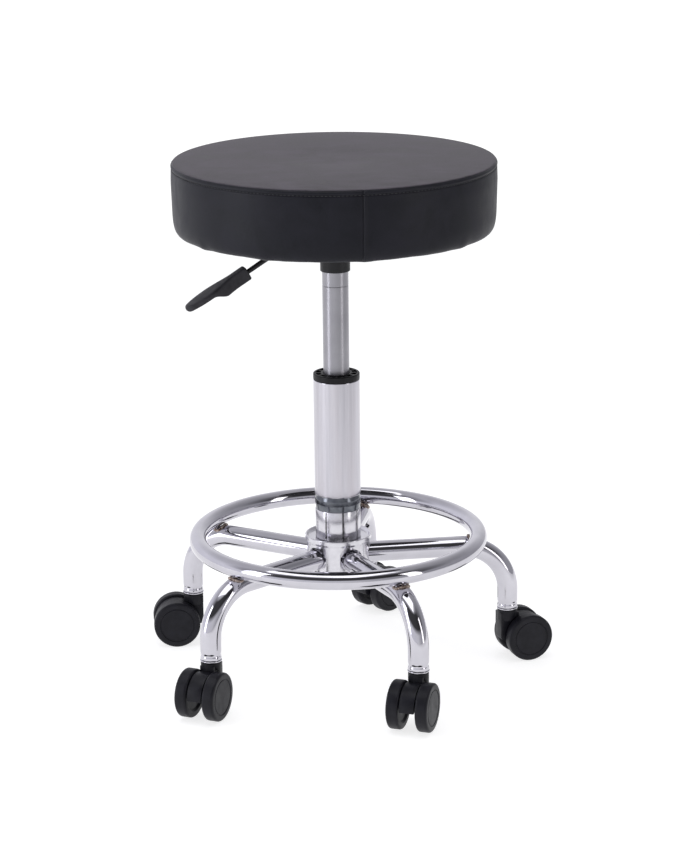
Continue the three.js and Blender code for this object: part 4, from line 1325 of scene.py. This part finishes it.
def make_lever_rod():
    """Bent rod from the valve to the handle, with the boss it rocks on."""
    down = Vector((math.cos(LEVER_SLOPE), 0, -math.sin(LEVER_SLOPE)))
    corner = Vector((HANDLE_START - HANDLE_DROP / math.tan(LEVER_SLOPE), 0, LEVER_LEVEL))
    setback = LEVER_BEND * math.tan(LEVER_SLOPE / 2)
    centre = corner + Vector((-setback, 0, -LEVER_BEND))
    points = [Vector((-5, 0, LEVER_LEVEL)), Vector((-4.4, 0, LEVER_LEVEL))]
    for step in range(13):
        turn = math.pi / 2 - LEVER_SLOPE * step / 12
        points.append(centre + LEVER_BEND * Vector((math.cos(turn), 0, math.sin(turn))))
    end = Vector((HANDLE_START, 0, LEVER_LEVEL - HANDLE_DROP)) + down * 22
    points.append(end)
    bm = sweep(points, lambda i: 2.4 if i in (0, len(points) - 1) else 3.0, 32, LEVER_FRAME)
    pivot = joint_place("lever_pull")
    reach = (pivot - AXIS).xy.length
    ring = rounded([(2.9, -7), (5, -7), (5, 7), (2.9, 7)], 0.5)
    boss = revolve(ring, 40, True, LEVER_FRAME @ lying(reach, pivot.z))
    joined = bpy.data.meshes.new("boss")
    boss.to_mesh(joined)
    boss.free()
    bm.from_mesh(joined)
    piece = piece_from_bmesh("release_lever", bm, [BLACK_PAINT], 40)
    settle(piece, "lever", "painted_steel", "lever_rod")


def smoothstep(value):
    """Eases from 0 to 1 and holds there on either side."""
    value = min(1.0, max(0.0, value))
    return value * value * (3 - 2 * value)


def make_lever_handle():
    """Moulded handle: a boxy shank that flattens and widens into a paddle."""
    length, depth, shank, step = 76.0, 15.0, 30.0, 16.0
    thin, neck, wide = 7.0, 6.0, 12.5
    stations = [0, 0.25, 0.8, 1.6] + [3 + 1.5 * k for k in range(48)] + [74.6, 75.3, 75.8, 76]
    bm = bmesh.new()
    rings = []
    sides = 40
    for x in stations:
        eased = smoothstep((x - shank) / step)
        drop = depth - (depth - thin) * eased
        spread = smoothstep((x - shank / 2) / (shank / 2 + step))
        half = neck + (wide - neck) * spread
        if x > shank + step:
            share = (x - shank - step) / (length - shank - step)
            half = wide * math.sqrt(max(0.0025, 1 - share ** 2.2))
        close = max(0.0, (x - length + thin / 2) / (thin / 2))
        drop *= math.sqrt(max(0.02, 1 - close ** 2))
        end = max(0.0, 1 - x / 1.6)
        half -= 0.9 * end * end
        drop -= 1.8 * end * end
        top = depth / 2 - (0.9 * end * end) - (thin - thin * drop / max(thin, drop)) / 2
        middle = top - drop / 2
        power = 0.28 + 0.16 * eased
        ring = []
        for k in range(sides):
            angle = TAU * k / sides
            cosine, sine = math.cos(angle), math.sin(angle)
            y = half * math.copysign(abs(cosine) ** power, cosine)
            z = middle + drop / 2 * math.copysign(abs(sine) ** power, sine)
            ring.append(bm.verts.new((x, y, z)))
        rings.append(ring)
    capped(bm, rings)
    bm.transform(LEVER_FRAME
                 @ Matrix.Translation((HANDLE_START, 0, LEVER_LEVEL - HANDLE_DROP))
                 @ Matrix.Rotation(LEVER_SLOPE, 4, "Y"))
    piece = piece_from_bmesh("release_handle", bm, [LEVER_PLASTIC], 50)
    settle(piece, "lever", "lever_plastic", "lever_handle")


def make_taper_socket():
    """Steel socket that takes the cylinder's grip."""
    low, high = node_span("taper_socket", 2)
    outline = [(14.3, low), (16, low), (16, high), (13.6, high)]
    piece = turned_piece("cylinder_socket", outline, [0.3, 0.6, 0.4, 0.2], BLACK_PAINT)
    settle(piece, "seat", "painted_steel", "taper_socket")


def bolt_tree():
    """Hexagon heads on washers at the corners of a square."""
    level = node_span("mounting_plate", 2)[0] - 2.8
    tree = Tree("plate_bolts", {"Spacing": 112.0, "Head radius": 6.0, "Head height": 3.6,
                                "Washer radius": 8.0, "Level": level, "Material": ZINC})
    corner = tree.math("MULTIPLY", tree["Spacing"], math.sqrt(0.5))
    square = tree.ring(4, corner)
    turned = tree.node("GeometryNodeTransform",
                       {"Geometry": square, "Rotation": (0, 0, math.pi / 4)})
    head = tree.node("GeometryNodeMeshCylinder", {
        "Vertices": 6, "Radius": tree["Head radius"],
        "Depth": tree["Head height"]})
    washer = tree.node("GeometryNodeMeshCylinder", {
        "Vertices": 40, "Radius": tree["Washer radius"], "Depth": 1.0})
    lift = tree.math("ADD", tree.math("MULTIPLY", tree["Head height"], 0.5), 0.5)
    both = tree.joined(head, tree.raised(washer, lift))
    laid = tree.node("GeometryNodeInstanceOnPoints", {"Points": turned, "Instance": both})
    tree.finish(tree.raised(laid, tree["Level"]))
    return tree


def make_mounting():
    """Plate, release housing and bolts under the board."""
    plate = eased_copy("mounting_plate", "seat_plate", 0.5, BLACK_PAINT)
    settle(plate, "seat", "painted_steel", "mounting_plate")
    housing = eased_copy("release_housing", "lever_housing", 0.7, BLACK_PAINT)
    settle(housing, "seat", "painted_steel", "release_housing")
    bolts = bolt_tree().grow("plate_bolts", LEVER_FRAME, 25)
    bevelled(bolts, 0.35, ZINC, 2, 25)
    settle(bolts, "seat", "zinc_steel", *(f"seat_bolt_{i}" for i in range(1, 5)))


# ---------------------------------------------------------------- studio

def make_camera():
    """Long lens a little above the seat, looking down at the stool."""
    pitch, roll = math.radians(15.81), math.radians(-0.59)
    data = bpy.data.cameras.new("camera")
    data.lens = 118.52
    data.sensor_width = 36
    camera = bpy.data.objects.new("camera", data)
    scene.collection.objects.link(camera)
    tilt = Matrix.Rotation(math.pi / 2 - pitch, 4, "X")
    place = AXIS + Vector((13.95, -2944.95, 1104.06))
    camera.matrix_world = (Matrix.Translation(place * MM) @ tilt
                           @ Matrix.Rotation(roll, 4, "Z"))
    scene.camera = camera


def make_floor():
    """A glowing disc of floor that dims far out to the front right."""
    finish = Finish("studio_floor", (0.45, 0.45, 0.45), 0.8)
    finish.paint(finish.tint(finish.noise(400), (0.44, 0.44, 0.445), (0.47, 0.47, 0.47)))
    finish.shader.inputs["Emission Color"].default_value = (1, 1, 1, 1)
    apart = finish.nodes.new("ShaderNodeSeparateXYZ")
    finish.links.new(finish.mapped((0.8, -0.6, 1)), apart.inputs[0])
    forwards = finish.nodes.new("ShaderNodeMath")
    finish.links.new(apart.outputs["X"], forwards.inputs[0])
    finish.links.new(apart.outputs["Y"], forwards.inputs[1])
    glow = finish.spread(forwards.outputs[0], 0.76, 0.50, 0.55, 1.1)
    finish.links.new(glow, finish.shader.inputs["Emission Strength"])
    bm = bmesh.new()
    bmesh.ops.create_circle(bm, cap_ends=True, radius=2400, segments=96)
    floor = piece_from_bmesh("studio_floor", bm, [finish.material])


def area_light(name, place, target, size, power, color=(1, 1, 1)):
    """A rectangular lamp aimed at a point, in millimetres and watts."""
    data = bpy.data.lights.new(name, "AREA")
    data.shape = "RECTANGLE"
    data.size, data.size_y = size[0] * MM, size[1] * MM
    data.energy = power
    data.color = color
    light = bpy.data.objects.new(name, data)
    scene.collection.objects.link(light)
    aim = (Vector(target) - Vector(place)).to_track_quat("-Z", "Y").to_matrix().to_4x4()
    light.matrix_world = Matrix.Translation(Vector(place) * MM) @ aim


def world_ramp(nodes, links, value, stops):
    """A grey ramp over a direction's component, from -1 to 1."""
    span = nodes.new("ShaderNodeMapRange")
    span.inputs["From Min"].default_value = -1
    links.new(value, span.inputs["Value"])
    ramp = nodes.new("ShaderNodeValToRGB")
    while len(ramp.color_ramp.elements) < len(stops):
        ramp.color_ramp.elements.new(0.5)
    for element, (position, color) in zip(ramp.color_ramp.elements, stops):
        element.position = (position + 1) / 2
        element.color = (*color, 1)
    links.new(span.outputs["Result"], ramp.inputs["Fac"])
    return ramp.outputs["Color"]


def grey(level, blue=1.02):
    """A grey with its blue channel multiplied."""
    return (level, level, level * blue)


def make_world():
    """White cove behind the stool, a dim room in front of it above the level of the floor."""
    world = bpy.data.worlds.new("studio")
    world.use_nodes = True
    scene.world = world
    nodes, links = world.node_tree.nodes, world.node_tree.links
    background = nodes["Background"]
    way = nodes.new("ShaderNodeTexCoord").outputs["Generated"]
    apart = nodes.new("ShaderNodeSeparateXYZ")
    links.new(way, apart.inputs[0])
    across, depth, height = (apart.outputs[axis] for axis in "XYZ")
    room = world_ramp(nodes, links, height, (
        (-1, grey(0.9)), (0.24, grey(0.92)), (0.42, grey(0.07)), (0.80, grey(0.07)),
        (0.90, grey(0.9))))
    cove = world_ramp(nodes, links, height, (
        (-1, grey(1.0)), (0.35, grey(1.0)), (0.6, grey(0.75)), (1, grey(0.6))))
    behind = world_ramp(nodes, links, depth, ((-0.45, grey(0, 1)), (0.2, grey(1, 1))))
    sides = world_ramp(nodes, links, across, (
        (-0.8, grey(1.0, 1.06)), (0.1, grey(0.93, 1.02)), (0.8, grey(0.45, 1.05))))
    whole = mix_colors(nodes, links, behind, room, cove)
    shaded = mix_colors(nodes, links, 1.0, whole, sides, "MULTIPLY")
    links.new(shaded, background.inputs["Color"])
    background.inputs["Strength"].default_value = 0.95
    seen = nodes.new("ShaderNodeBackground")
    seen.inputs["Color"].default_value = (1, 1, 1, 1)
    seen.inputs["Strength"].default_value = 1.15
    path = nodes.new("ShaderNodeLightPath")
    choose = nodes.new("ShaderNodeMixShader")
    links.new(path.outputs["Is Camera Ray"], choose.inputs["Fac"])
    links.new(background.outputs[0], choose.inputs[1])
    links.new(seen.outputs[0], choose.inputs[2])
    links.new(choose.outputs[0], nodes["World Output"].inputs["Surface"])


def make_studio():
    """Camera, floor, world and lamps."""
    make_camera()
    make_floor()
    make_world()
    area_light("overhead", (-150, -250, 2300), (0, 0, 300), (2200, 1600), 15)
    area_light("left_strip", (-1830, -810, 800), (0, 0, 350), (600, 1600), 11, (0.94, 0.95, 1))
    area_light("right_strip", (1680, -1090, 800), (0, 0, 350), (420, 1600), 5.5, (1, 0.98, 0.97))
    scene.view_settings.view_transform = "Standard"


# ---------------------------------------------------------------- the stool

def make_stool():
    """Every piece of the stool."""
    paint_cad_nodes()
    make_seat_cover()
    make_seam_stitches()
    make_underside()
    make_column()
    make_cylinder()
    make_piston_rod()
    make_guide_bush()
    make_hub()
    make_sleeve()
    make_foot_ring()
    make_welds()
    make_caster_bodies()
    for index in CASTERS:
        make_leg(index)
        make_socket(index)
        for side in SIDES:
            make_wheel(index, side)
    make_lever_rod()
    make_lever_handle()
    make_taper_socket()
    make_mounting()


make_studio()
make_stool()
